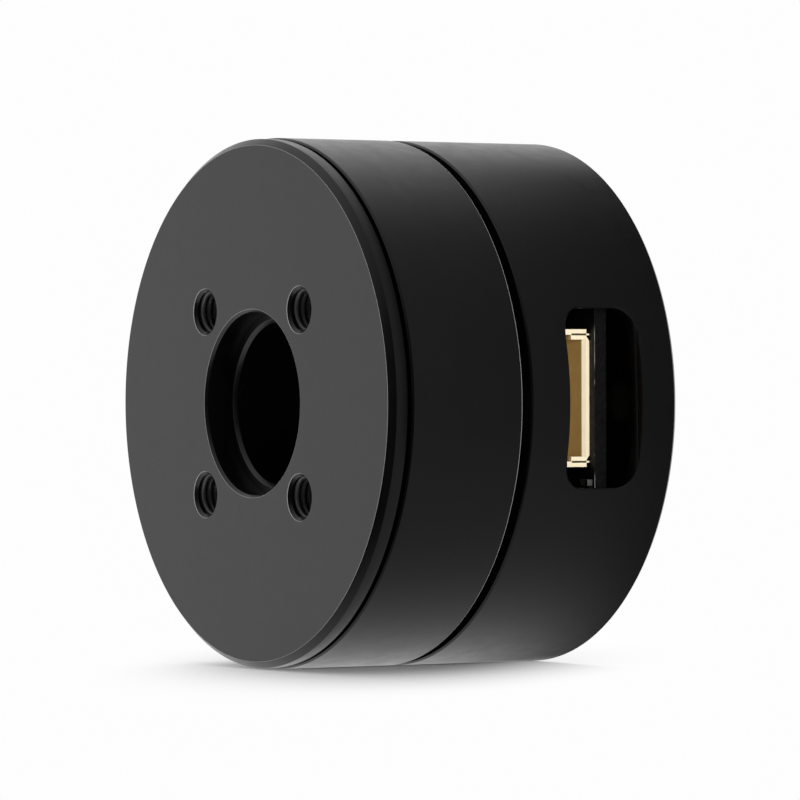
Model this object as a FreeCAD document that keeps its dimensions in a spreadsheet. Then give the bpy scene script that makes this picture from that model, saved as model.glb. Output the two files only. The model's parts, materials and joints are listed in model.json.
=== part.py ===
"""Hollow-shaft robot joint actuator: a direct-drive outer-rotor motor with its driver board.

Frame: the output axis is the Y axis, +Z is up and millimetres are used throughout.  The origin is the
centre of the output face, which looks towards -Y.  Every station is a distance along +Y from that face.
The connector window looks towards +X.
"""
import FreeCAD, Part
import os
import re

import Sketcher

DIMENSIONS = (
    # outside
    ("BodyRadius", 19.0, "rotor shell and rear housing, outside radius"),
    ("BodyLength", 23.85, "output face to rear mounting face"),
    ("SoftEdge", 0.12, "broken edge of the turned shells"),
    ("RearChamfer", 0.3, "rear edge of the housing"),
    # output cap
    ("CapRadius", 18.9, "rim of the output cap"),
    ("CapChamfer", 0.45, "chamfer round the output face"),
    ("CapRimEnd", 1.35, "back of the rim, front of the seam groove"),
    ("CapPlateEnd", 2.8, "back of the cap's plate"),
    ("SpigotRadius", 17.6, "spigot of the cap inside the rotor shell"),
    ("HubRadius", 11.2, "thick middle of the cap, for the output threads"),
    ("HubEnd", 4.0, "back of the hub"),
    ("HubLipRadius", 8.0, "lip of the hub that bears on the inner race"),
    ("PilotRadius", 6.55, "locating bore for the driven part"),
    ("PilotChamfer", 0.2, "edge of the locating bore"),
    ("OutputBoltRadius", 9.35, "circle of the four output threads"),
    ("ThreadDrillRadius", 1.25, "drilled radius of an M3 thread"),
    ("CountersinkRadius", 1.68, "mouth of an M3 thread"),
    ("ThreadCount", 4, "threads on a circle"),
    # rotor shell, flux ring and magnets
    ("ShellStart", 1.7, "front of the rotor shell, back of the seam groove"),
    ("ShellEnd", 10.8, "back of the rotor shell"),
    ("ShellBore", 18.1, "bore of the rotor shell"),
    ("FluxRingEnd", 10.4, "back of the steel flux ring"),
    ("MagnetOuter", 17.1, "outer radius of the magnets"),
    ("MagnetInner", 15.9, "inner radius of the magnets"),
    ("MagnetStart", 3.6, "front of the magnets"),
    ("MagnetEnd", 10.0, "back of the magnets"),
    ("MagnetPoles", 14, "number of magnets"),
    ("MagnetSweep", 22.5, "angle that one magnet covers"),
    # hollow shaft and what it carries
    ("ShaftRadius", 7.5, "outside of the hollow shaft, bore of the bearings"),
    ("ShaftBore", 5.8, "cable passage through the shaft"),
    ("ShaftBoreChamfer", 0.25, "edge of the cable passage"),
    ("ShaftStart", 2.0, "front end of the shaft, floor of the locating bore"),
    ("ShaftEnd", 23.45, "back end of the shaft"),
    ("RingGrooveRadius", 7.1, "floor of the retaining ring's groove"),
    ("RingThickness", 0.7, "retaining ring"),
    ("RingRadius", 8.6, "outside of the retaining ring"),
    ("RingOpening", 32, "angle of the retaining ring's gap"),
    ("EncoderMagnetStart", 16.6, "front of the encoder's ring magnet"),
    ("EncoderMagnetEnd", 17.3, "back of the encoder's ring magnet"),
    ("EncoderMagnetRadius", 9.6, "outside of the encoder's ring magnet"),
    # thin-section ball bearings, 15 x 21 x 4
    ("BearingWidth", 4.0, "both bearings"),
    ("BearingRadius", 10.5, "outside of the outer race"),
    ("InnerRaceRadius", 8.3, "land of the inner race"),
    ("OuterRaceRadius", 9.7, "land of the outer race"),
    ("BallPitch", 9.0, "radius of the circle of balls"),
    ("BallRadius", 1.0, "one ball"),
    ("RaceGroove", 1.04, "section radius of the race's groove"),
    ("BallCount", 11, "balls in one bearing"),
    ("CageInner", 8.6, "inner radius of the cage"),
    ("CageOuter", 9.4, "outer radius of the cage"),
    ("CageHalfWidth", 1.35, "half the width of the cage"),
    ("CagePocket", 1.05, "radius of a pocket in the cage"),
    ("FrontBearingStart", 4.4, "front of the front bearing"),
    ("RearBearingStart", 11.0, "front of the rear bearing"),
    ("WasherThickness", 0.3, "preload washer in front of the rear bearing"),
    # rear housing
    ("HousingStart", 11.5, "front of the housing, back of the running gap"),
    ("HousingBore", 17.9, "inside of the housing's wall"),
    ("WebEnd", 13.1, "back of the web between motor and driver"),
    ("TubeRadius", 11.5, "outside of the bearing tube"),
    ("TubeEnd", 15.2, "back of the bearing tube"),
    ("TubeShoulder", 9.6, "bore of the shoulder between the bearings"),
    ("WindowStart", 14.85, "front edge of the connector window"),
    ("WindowEnd", 20.7, "back edge of the connector window"),
    ("WindowHeight", 12.66, "connector window along Z"),
    ("WindowCorner", 1.5, "corner radius of the connector window"),
    ("WindowMiddle", 0.34, "middle of the window and its connector, above the output axis"),
    ("WindowCutStart", 15.0, "inner end of the window's cut, outside the pillars"),
    # screws, pillars and base plate
    ("PillarCircle", 15.2, "circle of the four pillars and their screws"),
    ("PillarRadius", 1.9, "one pillar"),
    ("PillarCount", 4, "pillars, posts and screws"),
    ("ScrewRadius", 1.0, "M2 screw"),
    ("ScrewClearance", 1.15, "clearance hole of an M2 screw"),
    ("ScrewHeadRadius", 1.9, "countersunk head of an M2 screw"),
    ("HeadLooseness", 0.05, "countersink of the base plate, wider than the screw's head"),
    ("ScrewTip", 14.6, "front end of the screws"),
    ("PlateStart", 21.45, "front of the base plate"),
    ("PlateHole", 7.8, "hole of the base plate round the shaft"),
    ("MountBoltRadius", 12.0, "circle of the four mounting threads"),
    # stator
    ("ToothCount", 12, "teeth of the stator"),
    ("CoreStart", 4.2, "front of the laminated core"),
    ("CoreEnd", 9.8, "back of the laminated core"),
    ("YokeRadius", 12.9, "outside of the core's yoke"),
    ("ToothWidth", 2.2, "stem of a tooth"),
    ("ToothTipStart", 15.0, "inner radius of a tooth's tip"),
    ("StatorRadius", 15.6, "outside of the stator"),
    ("ToothTipSweep", 25, "angle that a tooth's tip covers"),
    ("InsulatorThickness", 0.3, "end insulators of the core"),
    ("CoilInner", 13.0, "inner radius of a coil"),
    ("CoilOuter", 14.6, "outer radius of a coil"),
    ("CoilSide", 1.6, "thickness of a coil beside its tooth"),
    ("CoilEndTurn", 0.6, "thickness of a coil over the insulator"),
    ("CoilCorner", 0.55, "rounded corner of a coil"),
    ("CoilLooseness", 0.1, "room between a coil and its tooth"),
    ("LeadRadius", 0.45, "phase lead"),
    ("LeadHole", 0.7, "hole in the web for a phase lead"),
    ("LeadCircle", 13.9, "circle of the phase leads"),
    ("LeadCount", 3, "phase leads"),
    ("LeadSweep", 120, "angle between the first phase lead and the last"),
    ("FirstLead", 240, "direction of the first phase lead"),
    # driver board
    ("BoardStart", 18.65, "front face of the driver board"),
    ("BoardThickness", 1.0, "driver board"),
    ("BoardRadius", 17.5, "outside of the driver board"),
    ("BoardFlat", 16.15, "straight edge of the board at the window, from the axis"),
    ("BoardHole", 8.1, "hole of the driver board round the shaft"),
    ("LeadStub", 0.4, "length of a phase lead behind the board"),
    ("ConnectorFace", 15.5, "mouth of the wire connector, from the axis"),
    ("ConnectorDepth", 3.8, "wire connector along X"),
    ("ConnectorHeight", 4.2, "wire connector above its board"),
    ("ConnectorLength", 9.75, "wire connector along Z"),
    ("ConnectorWall", 0.5, "long walls of the connector"),
    ("ConnectorEndWall", 0.73, "end walls of the connector, up to the key slots"),
    ("ConnectorFloor", 0.8, "back wall of the connector"),
    ("ConnectorBevel", 0.24, "bevel inside the mouth on the board's side, and lift of the ends"),
    ("ConnectorShoulder", 8.78, "length of the connector between its lifted ends"),
    ("ConnectorFoot", 8.1, "length of the connector where it stands on the board"),
    ("KeySlotDepth", 0.34, "key slots at both ends of the cavity, along Z"),
    ("KeySlotEnd", 1.55, "back of the key slots, in front of the board"),
    ("PinPitch", 1.25, "contact pins"),
    ("PinCount", 5, "contact pins"),
    ("PinThickness", 0.4, "contact pins"),
    ("PinReach", 2.4, "length of a pin inside the connector"),
    ("PinFoot", 1.1, "foot of a pin behind the connector"),
    ("TabLength", 2.1, "solder tab along X"),
    ("TabThickness", 0.14, "solder tab, pressed into a slot of the end wall"),
    ("TabHeight", 1.5, "solder tab above the board"),
    ("TabSpread", 9.02, "from one solder tab to the other"),
    ("ChipCircle", 12.6, "middle of the chips, from the axis"),
    ("ControllerSide", 5.0, "controller chip"),
    ("ControllerHeight", 0.85, "controller chip"),
    ("GateDriverSide", 4.0, "gate driver chip"),
    ("EncoderChipSide", 3.0, "encoder chip"),
    ("EncoderChipCircle", 9.8, "middle of the encoder chip, from the axis"),
    ("ChipHeight", 0.75, "encoder and gate driver chips"),
    ("SwitchSide", 3.3, "power switch"),
    ("SwitchHeight", 0.8, "power switch"),
    ("SwitchCount", 6, "power switches"),
    ("SwitchCircle", 12.2, "middle of the power switches, from the axis"),
    ("GateDriverX", 10.9, "middle of the gate driver chip, from the axis along -X"),
    ("GateDriverZ", 6.3, "middle of the gate driver chip, from the axis along -Z"),
    ("CapacitorCircle", 12.2, "middle of the bus capacitors, from the axis"),
    ("SmallCapacitorLength", 1.0, "capacitor at the board's edge, along X"),
    ("SmallCapacitorWidth", 0.5, "capacitor at the board's edge"),
    ("EdgeCapacitorX", 15.45, "middle of the capacitor at the board's edge"),
    ("EdgeCapacitorZ", 6.0, "middle of the capacitor at the board's edge, below the window's middle"),
    ("CapacitorLength", 3.2, "bus capacitor"),
    ("CapacitorWidth", 2.5, "bus capacitor"),
    ("CapacitorHeight", 1.5, "bus capacitor"),
    ("CapacitorCount", 3, "bus capacitors"),
    ("CapacitorSweep", 120, "angle between the first bus capacitor and the last"),
    ("FirstCapacitor", 60, "direction of the first bus capacitor"),
)

doc = FreeCAD.newDocument("joint_actuator")
sizes = doc.addObject("Spreadsheet::Sheet", "sizes")
for row, (alias, value, note) in enumerate(DIMENSIONS, 1):
    sizes.set("A%d" % row, note)
    sizes.set("B%d" % row, str(value))
    sizes.setAlias("B%d" % row, alias)
doc.recompute()


# ---- formulas, sketches and features ---------------------------------------------------------------

def formula(text):
    """A formula of cell names, as an object outside the sheet has to write it."""
    return re.sub(r"\b[A-Z][A-Za-z]+", lambda word: "sizes." + word.group(), str(text))


def number(text):
    """What such a formula comes to now."""
    return float(sizes.evalExpression(formula(text)))


def new_body(name):
    body = doc.addObject("PartDesign::Body", name)
    body.Label = name
    return body


def origin_of(body, role):
    return next(feature for feature in body.Origin.OriginFeatures if feature.Role == role)


def new_sketch(body, plane, offset="0"):
    """An empty sketch on one of the body's origin planes, moved along that plane's normal."""
    sketch = body.newObject("Sketcher::SketchObject", body.Name + "_sketch")
    sketch.AttachmentSupport = [(origin_of(body, plane), "")]
    sketch.MapMode = "FlatFace"
    sketch.setExpression("AttachmentOffset.Base.z", formula(offset))
    return sketch


def place_point(sketch, geometry, corner, text_x, text_y):
    """Dimension one point from the sketch's origin, or put it on an axis where the distance is nothing."""
    for kind, axis, text in (("DistanceX", -2, text_x), ("DistanceY", -1, text_y)):
        if abs(number(text)) < 1e-9:
            sketch.addConstraint(Sketcher.Constraint("PointOnObject", geometry, corner, axis))
        else:
            index = sketch.addConstraint(Sketcher.Constraint(kind, -1, 1, geometry, corner, number(text)))
            sketch.setExpression("Constraints[%d]" % index, formula(text))


def draw_outline(sketch, corners):
    """A closed outline of straight lines, every corner given by two formulas."""
    points = [FreeCAD.Vector(number(x), number(y), 0) for x, y in corners]
    first = sketch.GeometryCount
    for start, end in zip(points, points[1:] + points[:1]):
        sketch.addGeometry(Part.LineSegment(start, end), False)
    for index, (text_x, text_y) in enumerate(corners):
        following = first + (index + 1) % len(corners)
        sketch.addConstraint(Sketcher.Constraint("Coincident", first + index, 2, following, 1))
        place_point(sketch, first + index, 1, text_x, text_y)


def draw_rectangle(sketch, left, right, bottom, top):
    draw_outline(sketch, [(left, bottom), (right, bottom), (right, top), (left, top)])


def draw_circle(sketch, radius, centre_x="0", centre_y="0"):
    centre = FreeCAD.Vector(number(centre_x), number(centre_y), 0)
    circle = Part.Circle(centre, FreeCAD.Vector(0, 0, 1), number(radius))
    geometry = sketch.addGeometry(circle, False)
    index = sketch.addConstraint(Sketcher.Constraint("Radius", geometry, number(radius)))
    sketch.setExpression("Constraints[%d]" % index, formula(radius))
    place_point(sketch, geometry, 3, centre_x, centre_y)


def turn(body, corners, sweep="360"):
    """Revolve an outline of (radius, station) corners about the output axis."""
    sketch = new_sketch(body, "XY_Plane")
    draw_outline(sketch, corners)
    revolution = body.newObject("PartDesign::Revolution", body.Name + "_turning")
    revolution.Profile = sketch
    revolution.ReferenceAxis = (sketch, ["V_Axis"])
    revolution.Midplane = True
    revolution.setExpression("Angle", formula(sweep))
    return revolution


def turn_ring(body, inner, outer, start, end, sweep="360"):
    return turn(body, [(inner, start), (outer, start), (outer, end), (inner, end)], sweep)


def pad_along_axis(body, draw, start, end):
    """Pad what draw(sketch) draws in the XZ plane, from one station to another."""
    sketch = new_sketch(body, "XZ_Plane", "-(%s)" % start)
    draw(sketch)
    pad = body.newObject("PartDesign::Pad", body.Name + "_pad")
    pad.Profile = sketch
    pad.Reversed = True
    pad.setExpression("Length", formula("(%s) - (%s)" % (end, start)))
    return pad


def pocket_along_axis(body, draw, start, end):
    """Cut what draw(sketch) draws in the XZ plane, from one station to another."""
    sketch = new_sketch(body, "XZ_Plane", "-(%s)" % start)
    draw(sketch)
    pocket = body.newObject("PartDesign::Pocket", body.Name + "_pocket")
    pocket.Profile = sketch
    pocket.setExpression("Length", formula("(%s) - (%s)" % (end, start)))
    return pocket


def repeat(body, features, count, sweep="360"):
    """Repeat features about the output axis."""
    pattern = body.newObject("PartDesign::PolarPattern", body.Name + "_pattern")
    pattern.Originals = features
    pattern.Axis = (origin_of(body, "Y_Axis"), [""])
    pattern.setExpression("Angle", formula(sweep))
    pattern.setExpression("Occurrences", formula(count))
    body.Tip = pattern
    return pattern


def edges_along(feature, direction, test):
    """Names of the straight edges of a feature that run along a direction and pass a test."""
    names = []
    for index, edge in enumerate(feature.Shape.Edges, 1):
        if edge.Curve.TypeId != "Part::GeomLine":
            continue
        tangent = edge.tangentAt(edge.FirstParameter)
        if abs(abs(tangent.dot(direction)) - 1) < 1e-6 and test(edge.CenterOfMass):
            names.append("Edge%d" % index)
    return names


def round_edges(body, feature, names, radius):
    fillet = body.newObject("PartDesign::Fillet", body.Name + "_fillet")
    fillet.Base = (feature, names)
    fillet.setExpression("Radius", formula(radius))
    return fillet


def on_diagonal(circle):
    """The two formulas of a point on the diagonal of the first quarter."""
    return circle + " * cos(45)", circle + " * sin(45)"


def turn_body(body, degrees):
    """Turn a finished body about the output axis."""
    body.Placement.Rotation = FreeCAD.Rotation(FreeCAD.Vector(0, 1, 0), degrees)


def threaded_holes(body, centre, station, faces_front):
    """Countersunk M3 thread holes round the output axis, right through the body."""
    sketch = new_sketch(body, "XZ_Plane", "-(%s)" % station)
    draw_circle(sketch, "ThreadDrillRadius", *centre)
    doc.recompute()
    hole = body.newObject("PartDesign::Hole", body.Name + "_thread")
    hole.Profile = sketch
    hole.ThreadType = "ISOMetricProfile"
    hole.ThreadSize = "M3x0.5"
    hole.Threaded = True
    hole.DepthType = "ThroughAll"
    hole.HoleCutType = "Countersink"
    hole.HoleCutCustomValues = True
    hole.setExpression("HoleCutDiameter", formula("2 * CountersinkRadius"))
    hole.HoleCutCountersinkAngle = 90
    hole.Reversed = not faces_front
    return repeat(body, [hole], "ThreadCount")


# ---- rotor -----------------------------------------------------------------------------------------

def make_output_cap():
    body = new_body("output_cap")
    turn(body, [
        ("PilotRadius + PilotChamfer", "0"),
        ("CapRadius - CapChamfer", "0"),
        ("CapRadius", "CapChamfer"),
        ("CapRadius", "CapRimEnd"),
        ("SpigotRadius", "CapRimEnd"),
        ("SpigotRadius", "CapPlateEnd"),
        ("HubRadius", "CapPlateEnd"),
        ("HubRadius", "HubEnd"),
        ("HubLipRadius", "HubEnd"),
        ("HubLipRadius", "FrontBearingStart"),
        ("ShaftRadius", "FrontBearingStart"),
        ("ShaftRadius", "ShaftStart"),
        ("PilotRadius", "ShaftStart"),
        ("PilotRadius", "PilotChamfer"),
    ])
    threaded_holes(body, on_diagonal("OutputBoltRadius"), "0", True)


def make_rotor_shell():
    turn(new_body("rotor_shell"), [
        ("SpigotRadius", "ShellStart"),
        ("BodyRadius - SoftEdge", "ShellStart"),
        ("BodyRadius", "ShellStart + SoftEdge"),
        ("BodyRadius", "ShellEnd - SoftEdge"),
        ("BodyRadius - SoftEdge", "ShellEnd"),
        ("ShellBore", "ShellEnd"),
        ("ShellBore", "CapPlateEnd"),
        ("SpigotRadius", "CapPlateEnd"),
    ])


def make_magnets(name, turned_by):
    """Every second magnet of the ring, the group turned by a number of poles."""
    body = new_body(name)
    magnet = turn_ring(body, "MagnetInner", "MagnetOuter", "MagnetStart", "MagnetEnd", "MagnetSweep")
    repeat(body, [magnet], "MagnetPoles / 2")
    turn_body(body, turned_by * 360 / number("MagnetPoles"))


def make_hollow_shaft():
    groove_start = "RearBearingStart + BearingWidth"
    turn(new_body("hollow_shaft"), [
        ("ShaftBore + ShaftBoreChamfer", "ShaftStart"),
        ("ShaftRadius", "ShaftStart"),
        ("ShaftRadius", groove_start),
        ("RingGrooveRadius", groove_start),
        ("RingGrooveRadius", groove_start + " + RingThickness"),
        ("ShaftRadius", groove_start + " + RingThickness"),
        ("ShaftRadius", "ShaftEnd"),
        ("ShaftBore + ShaftBoreChamfer", "ShaftEnd"),
        ("ShaftBore", "ShaftEnd - ShaftBoreChamfer"),
        ("ShaftBore", "ShaftStart + ShaftBoreChamfer"),
    ])


def make_retaining_ring():
    start = "RearBearingStart + BearingWidth"
    turn_ring(new_body("retaining_ring"), "RingGrooveRadius", "RingRadius", start,
              start + " + RingThickness", "360 - RingOpening")


# ---- bearings --------------------------------------------------------------------------------------

def make_race(name, inner, outer, start):
    """A plain ring with the balls' groove turned into it."""
    body = new_body(name)
    turn_ring(body, inner, outer, start, start + " + BearingWidth")
    sketch = new_sketch(body, "XY_Plane")
    draw_circle(sketch, "RaceGroove", "BallPitch", start + " + BearingWidth / 2")
    groove = body.newObject("PartDesign::Groove", name + "_groove")
    groove.Profile = sketch
    groove.ReferenceAxis = (sketch, ["V_Axis"])
    groove.Angle = 360


def make_balls(name, middle):
    body = new_body(name)
    ball = body.newObject("PartDesign::AdditiveSphere", name + "_ball")
    ball.setExpression("Radius", formula("BallRadius"))
    ball.AttachmentSupport = [(origin_of(body, "XY_Plane"), "")]
    ball.MapMode = "FlatFace"
    ball.setExpression("AttachmentOffset.Base.x", formula("BallPitch"))
    ball.setExpression("AttachmentOffset.Base.y", formula(middle))
    repeat(body, [ball], "BallCount")


def make_cage(name, middle):
    """A plain ring with a radial pocket for every ball."""
    body = new_body(name)
    turn_ring(body, "CageInner", "CageOuter", middle + " - CageHalfWidth", middle + " + CageHalfWidth")
    sketch = new_sketch(body, "YZ_Plane", "CageInner - CagePocket")
    draw_circle(sketch, "CagePocket", middle, "0")
    pocket = body.newObject("PartDesign::Pocket", name + "_ball_pocket")
    pocket.Profile = sketch
    pocket.Reversed = True
    pocket.setExpression("Length", formula("CageOuter - CageInner + 2 * CagePocket"))
    repeat(body, [pocket], "BallCount")


def make_bearing(place, start):
    middle = start + " + BearingWidth / 2"
    make_race(place + "_bearing_inner_race", "ShaftRadius", "InnerRaceRadius", start)
    make_race(place + "_bearing_outer_race", "OuterRaceRadius", "BearingRadius", start)
    make_balls(place + "_bearing_balls", middle)
    make_cage(place + "_bearing_cage", middle)


# ---- rear housing and base plate -------------------------------------------------------------------

def first_lead():
    return "LeadCircle * cos(FirstLead)", "LeadCircle * sin(FirstLead)"


def about_middle(half):
    """The two formulas, low and high, of a span along Z about the window's middle."""
    return "WindowMiddle - (%s)" % half, "WindowMiddle + (%s)" % half


def make_rear_housing():
    """Wall, web and bearing tube in one turned piece, with pillars, window and lead holes."""
    body = new_body("rear_housing")
    front_end = "FrontBearingStart + BearingWidth"
    rear_seat = "RearBearingStart - WasherThickness"
    turn(body, [
        ("BearingRadius", "FrontBearingStart"),
        ("TubeRadius", "FrontBearingStart"),
        ("TubeRadius", "HousingStart"),
        ("BodyRadius - SoftEdge", "HousingStart"),
        ("BodyRadius", "HousingStart + SoftEdge"),
        ("BodyRadius", "BodyLength - RearChamfer"),
        ("BodyRadius - RearChamfer", "BodyLength"),
        ("HousingBore", "BodyLength"),
        ("HousingBore", "WebEnd"),
        ("TubeRadius", "WebEnd"),
        ("TubeRadius", "TubeEnd"),
        ("BearingRadius", "TubeEnd"),
        ("BearingRadius", rear_seat),
        ("TubeShoulder", rear_seat),
        ("TubeShoulder", front_end),
        ("BearingRadius", front_end),
    ])
    corner = on_diagonal("PillarCircle")
    pillar = pad_along_axis(body, lambda sketch: draw_circle(sketch, "PillarRadius", *corner),
                            "WebEnd", "BoardStart")
    repeat(body, [pillar], "PillarCount")
    bore = pocket_along_axis(body, lambda sketch: draw_circle(sketch, "ScrewRadius", *corner),
                             "ScrewTip", "BoardStart")
    repeat(body, [bore], "PillarCount")
    lead_hole = pocket_along_axis(body, lambda sketch: draw_circle(sketch, "LeadHole", *first_lead()),
                                  "HousingStart", "WebEnd")
    repeat(body, [lead_hole], "LeadCount", "LeadSweep")
    sketch = new_sketch(body, "YZ_Plane", "WindowCutStart")
    draw_rectangle(sketch, "WindowStart", "WindowEnd", *about_middle("WindowHeight / 2"))
    window = body.newObject("PartDesign::Pocket", "window")
    window.Profile = sketch
    window.Reversed = True
    window.setExpression("Length", formula("BodyRadius"))
    doc.recompute()
    corners = edges_along(window, FreeCAD.Vector(1, 0, 0), lambda middle: middle.x > number("WindowCutStart"))
    round_edges(body, window, corners, "WindowCorner")


def make_base_plate():
    body = new_body("base_plate")
    corner = on_diagonal("PillarCircle")
    pad_along_axis(body, lambda sketch: (
        draw_circle(sketch, "HousingBore"), draw_circle(sketch, "PlateHole")), "PlateStart", "BodyLength")
    post = pad_along_axis(body, lambda sketch: draw_circle(sketch, "PillarRadius", *corner),
                          "BoardStart + BoardThickness", "PlateStart")
    repeat(body, [post], "PillarCount")
    threaded_holes(body, ("MountBoltRadius", "0"), "BodyLength", False)

    def draw_hole(sketch):
        draw_circle(sketch, "ScrewClearance", *corner)

    clearance = pocket_along_axis(body, draw_hole, "BoardStart + BoardThickness", "BodyLength")
    sunk_depth = "ScrewHeadRadius + HeadLooseness - ScrewClearance"
    countersink = pocket_along_axis(body, draw_hole, "BodyLength - (%s)" % sunk_depth, "BodyLength")
    countersink.TaperAngle = 45
    repeat(body, [clearance, countersink], "PillarCount")


# ---- stator ----------------------------------------------------------------------------------------

def make_toothed_ring(name, start, end):
    """The outline of a lamination: yoke, tooth stems and tooth tips."""
    body = new_body(name)
    turn_ring(body, "TubeRadius", "YokeRadius", start, end)
    stem = pad_along_axis(body, lambda sketch: draw_rectangle(
        sketch, "(TubeRadius + YokeRadius) / 2", "(ToothTipStart + StatorRadius) / 2",
        "-ToothWidth / 2", "ToothWidth / 2"), start, end)
    tip = turn_ring(body, "ToothTipStart", "StatorRadius", start, end, "ToothTipSweep")
    repeat(body, [stem, tip], "ToothCount")


def make_phase(name, first_tooth):
    """Two neighbouring coils and the two opposite ones, on the teeth of one phase."""
    body = new_body(name)
    front = "CoreStart - InsulatorThickness"
    back = "CoreEnd + InsulatorThickness"
    side = "ToothWidth / 2 + CoilLooseness"
    sketch = new_sketch(body, "YZ_Plane", "CoilInner")
    draw_rectangle(sketch, front + " - CoilEndTurn", back + " + CoilEndTurn",
                   "-(%s + CoilSide)" % side, side + " + CoilSide")
    draw_rectangle(sketch, front, back, "-(%s)" % side, side)
    coil = body.newObject("PartDesign::Pad", name + "_coil")
    coil.Profile = sketch
    coil.setExpression("Length", formula("CoilOuter - CoilInner"))
    doc.recompute()
    half_width = number(side)
    corners = edges_along(coil, FreeCAD.Vector(1, 0, 0), lambda middle: abs(middle.z) > half_width + 1e-3)
    rounded = round_edges(body, coil, corners, "CoilCorner")
    phase = body.newObject("PartDesign::MultiTransform", name + "_coils")
    steps = []
    for count, sweep in (("2", "360 / ToothCount"), ("2", "360")):
        step = body.newObject("PartDesign::PolarPattern", name + "_step")
        step.Axis = (origin_of(body, "Y_Axis"), [""])
        step.setExpression("Angle", formula(sweep))
        step.setExpression("Occurrences", formula(count))
        steps.append(step)
    phase.Originals = [coil, rounded]
    phase.Transformations = steps
    body.Tip = phase
    turn_body(body, first_tooth * 360 / number("ToothCount"))


def make_phase_leads():
    body = new_body("phase_leads")
    lead = pad_along_axis(body, lambda sketch: draw_circle(sketch, "LeadRadius", *first_lead()),
                          "CoreEnd + InsulatorThickness + CoilEndTurn",
                          "BoardStart + BoardThickness + LeadStub")
    repeat(body, [lead], "LeadCount", "LeadSweep")


# ---- driver board ----------------------------------------------------------------------------------

def make_driver_board():
    """Round board with a hole for the shaft and one straight edge, where the connector sits."""
    body = new_body("driver_board")
    back = "BoardStart + BoardThickness"
    pad_along_axis(body, lambda sketch: (
        draw_circle(sketch, "BoardRadius"), draw_circle(sketch, "BoardHole")), "BoardStart", back)
    pocket_along_axis(body, lambda sketch: draw_rectangle(
        sketch, "BoardFlat", "BodyRadius", "-BoardRadius / 2", "BoardRadius / 2"), "BoardStart", back)
    screw_hole = pocket_along_axis(body, lambda sketch: draw_circle(
        sketch, "ScrewClearance", *on_diagonal("PillarCircle")), "BoardStart", back)
    repeat(body, [screw_hole], "PillarCount")
    lead_hole = pocket_along_axis(body, lambda sketch: draw_circle(sketch, "LeadRadius", *first_lead()),
                                  "BoardStart", back)
    repeat(body, [lead_hole], "LeadCount", "LeadSweep")


def make_wire_connector():
    """Side-entry header: an open box on the front of the board, its mouth in the window."""
    body = new_body("wire_connector")
    front = "BoardStart - ConnectorHeight"
    lifted = "BoardStart - ConnectorBevel"
    low_end, high_end = about_middle("ConnectorLength / 2")
    low_shoulder, high_shoulder = about_middle("ConnectorShoulder / 2")
    low_foot, high_foot = about_middle("ConnectorFoot / 2")
    sketch = new_sketch(body, "YZ_Plane", "ConnectorFace - ConnectorDepth")
    draw_outline(sketch, [
        (front, low_end), (lifted, low_end), (lifted, low_shoulder), ("BoardStart", low_foot),
        ("BoardStart", high_foot), (lifted, high_shoulder), (lifted, high_end), (front, high_end)])
    shell = body.newObject("PartDesign::Pad", "connector_shell")
    shell.Profile = sketch
    shell.setExpression("Length", formula("ConnectorDepth"))

    floor = "BoardStart - ConnectorWall"
    key_end = "BoardStart - KeySlotEnd"
    low_side, high_side = about_middle("ConnectorLength / 2 - ConnectorEndWall")
    low_key, high_key = about_middle("ConnectorLength / 2 - ConnectorEndWall + KeySlotDepth")
    sketch = new_sketch(body, "YZ_Plane", "ConnectorFace")
    draw_outline(sketch, [
        (front + " + ConnectorWall", low_key), (key_end, low_key), (key_end, low_side),
        (floor, low_side), (floor, high_side), (key_end, high_side),
        (key_end, high_key), (front + " + ConnectorWall", high_key)])
    cavity = body.newObject("PartDesign::Pocket", "connector_cavity")
    cavity.Profile = sketch
    cavity.setExpression("Length", formula("ConnectorDepth - ConnectorFloor"))
    doc.recompute()

    mouth = FreeCAD.Vector(number("ConnectorFace"), number(floor), number("WindowMiddle"))
    bevel = body.newObject("PartDesign::Chamfer", "mouth_bevel")
    bevel.Base = (cavity, edges_along(cavity, FreeCAD.Vector(0, 0, 1),
                                      lambda middle: middle.distanceToPoint(mouth) < 1e-6))
    bevel.setExpression("Size", formula("ConnectorBevel"))

    sketch = new_sketch(body, "YZ_Plane", "ConnectorFace - TabLength")
    draw_rectangle(sketch, "BoardStart - TabHeight", "BoardStart", *tab_sides())
    slot = body.newObject("PartDesign::Pocket", "tab_slot")
    slot.Profile = sketch
    slot.Reversed = True
    slot.setExpression("Length", formula("TabLength"))
    repeat_along_z(body, slot, "2", "TabSpread")

    sketch = new_sketch(body, "YZ_Plane", "ConnectorFace - ConnectorDepth")
    draw_rectangle(sketch, "BoardStart - ConnectorHeight / 2 - PinThickness / 2",
                   "BoardStart - ConnectorHeight / 2 + PinThickness / 2",
                   first_pin(), first_pin() + " + PinThickness")
    passage = body.newObject("PartDesign::Pocket", "pin_passage")
    passage.Profile = sketch
    passage.Reversed = True
    passage.setExpression("Length", formula("ConnectorFloor"))
    repeat_along_z(body, passage, "PinCount", "(PinCount - 1) * PinPitch")


def tab_sides():
    """The two formulas, low and high, of the lower solder tab along Z."""
    low = "WindowMiddle - TabSpread / 2 - TabThickness / 2"
    return low, low + " + TabThickness"


def first_pin():
    """The formula of the lower side of the lowest pin."""
    return "WindowMiddle - (PinCount - 1) / 2 * PinPitch - PinThickness / 2"


def repeat_along_z(body, feature, count, spread):
    """One feature repeated upwards, evenly over a spread."""
    row = body.newObject("PartDesign::LinearPattern", feature.Name + "_row")
    row.Originals = [feature]
    row.Direction = (origin_of(body, "Z_Axis"), [""])
    row.setExpression("Length", formula(spread))
    row.setExpression("Occurrences", formula(count))
    body.Tip = row


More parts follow.
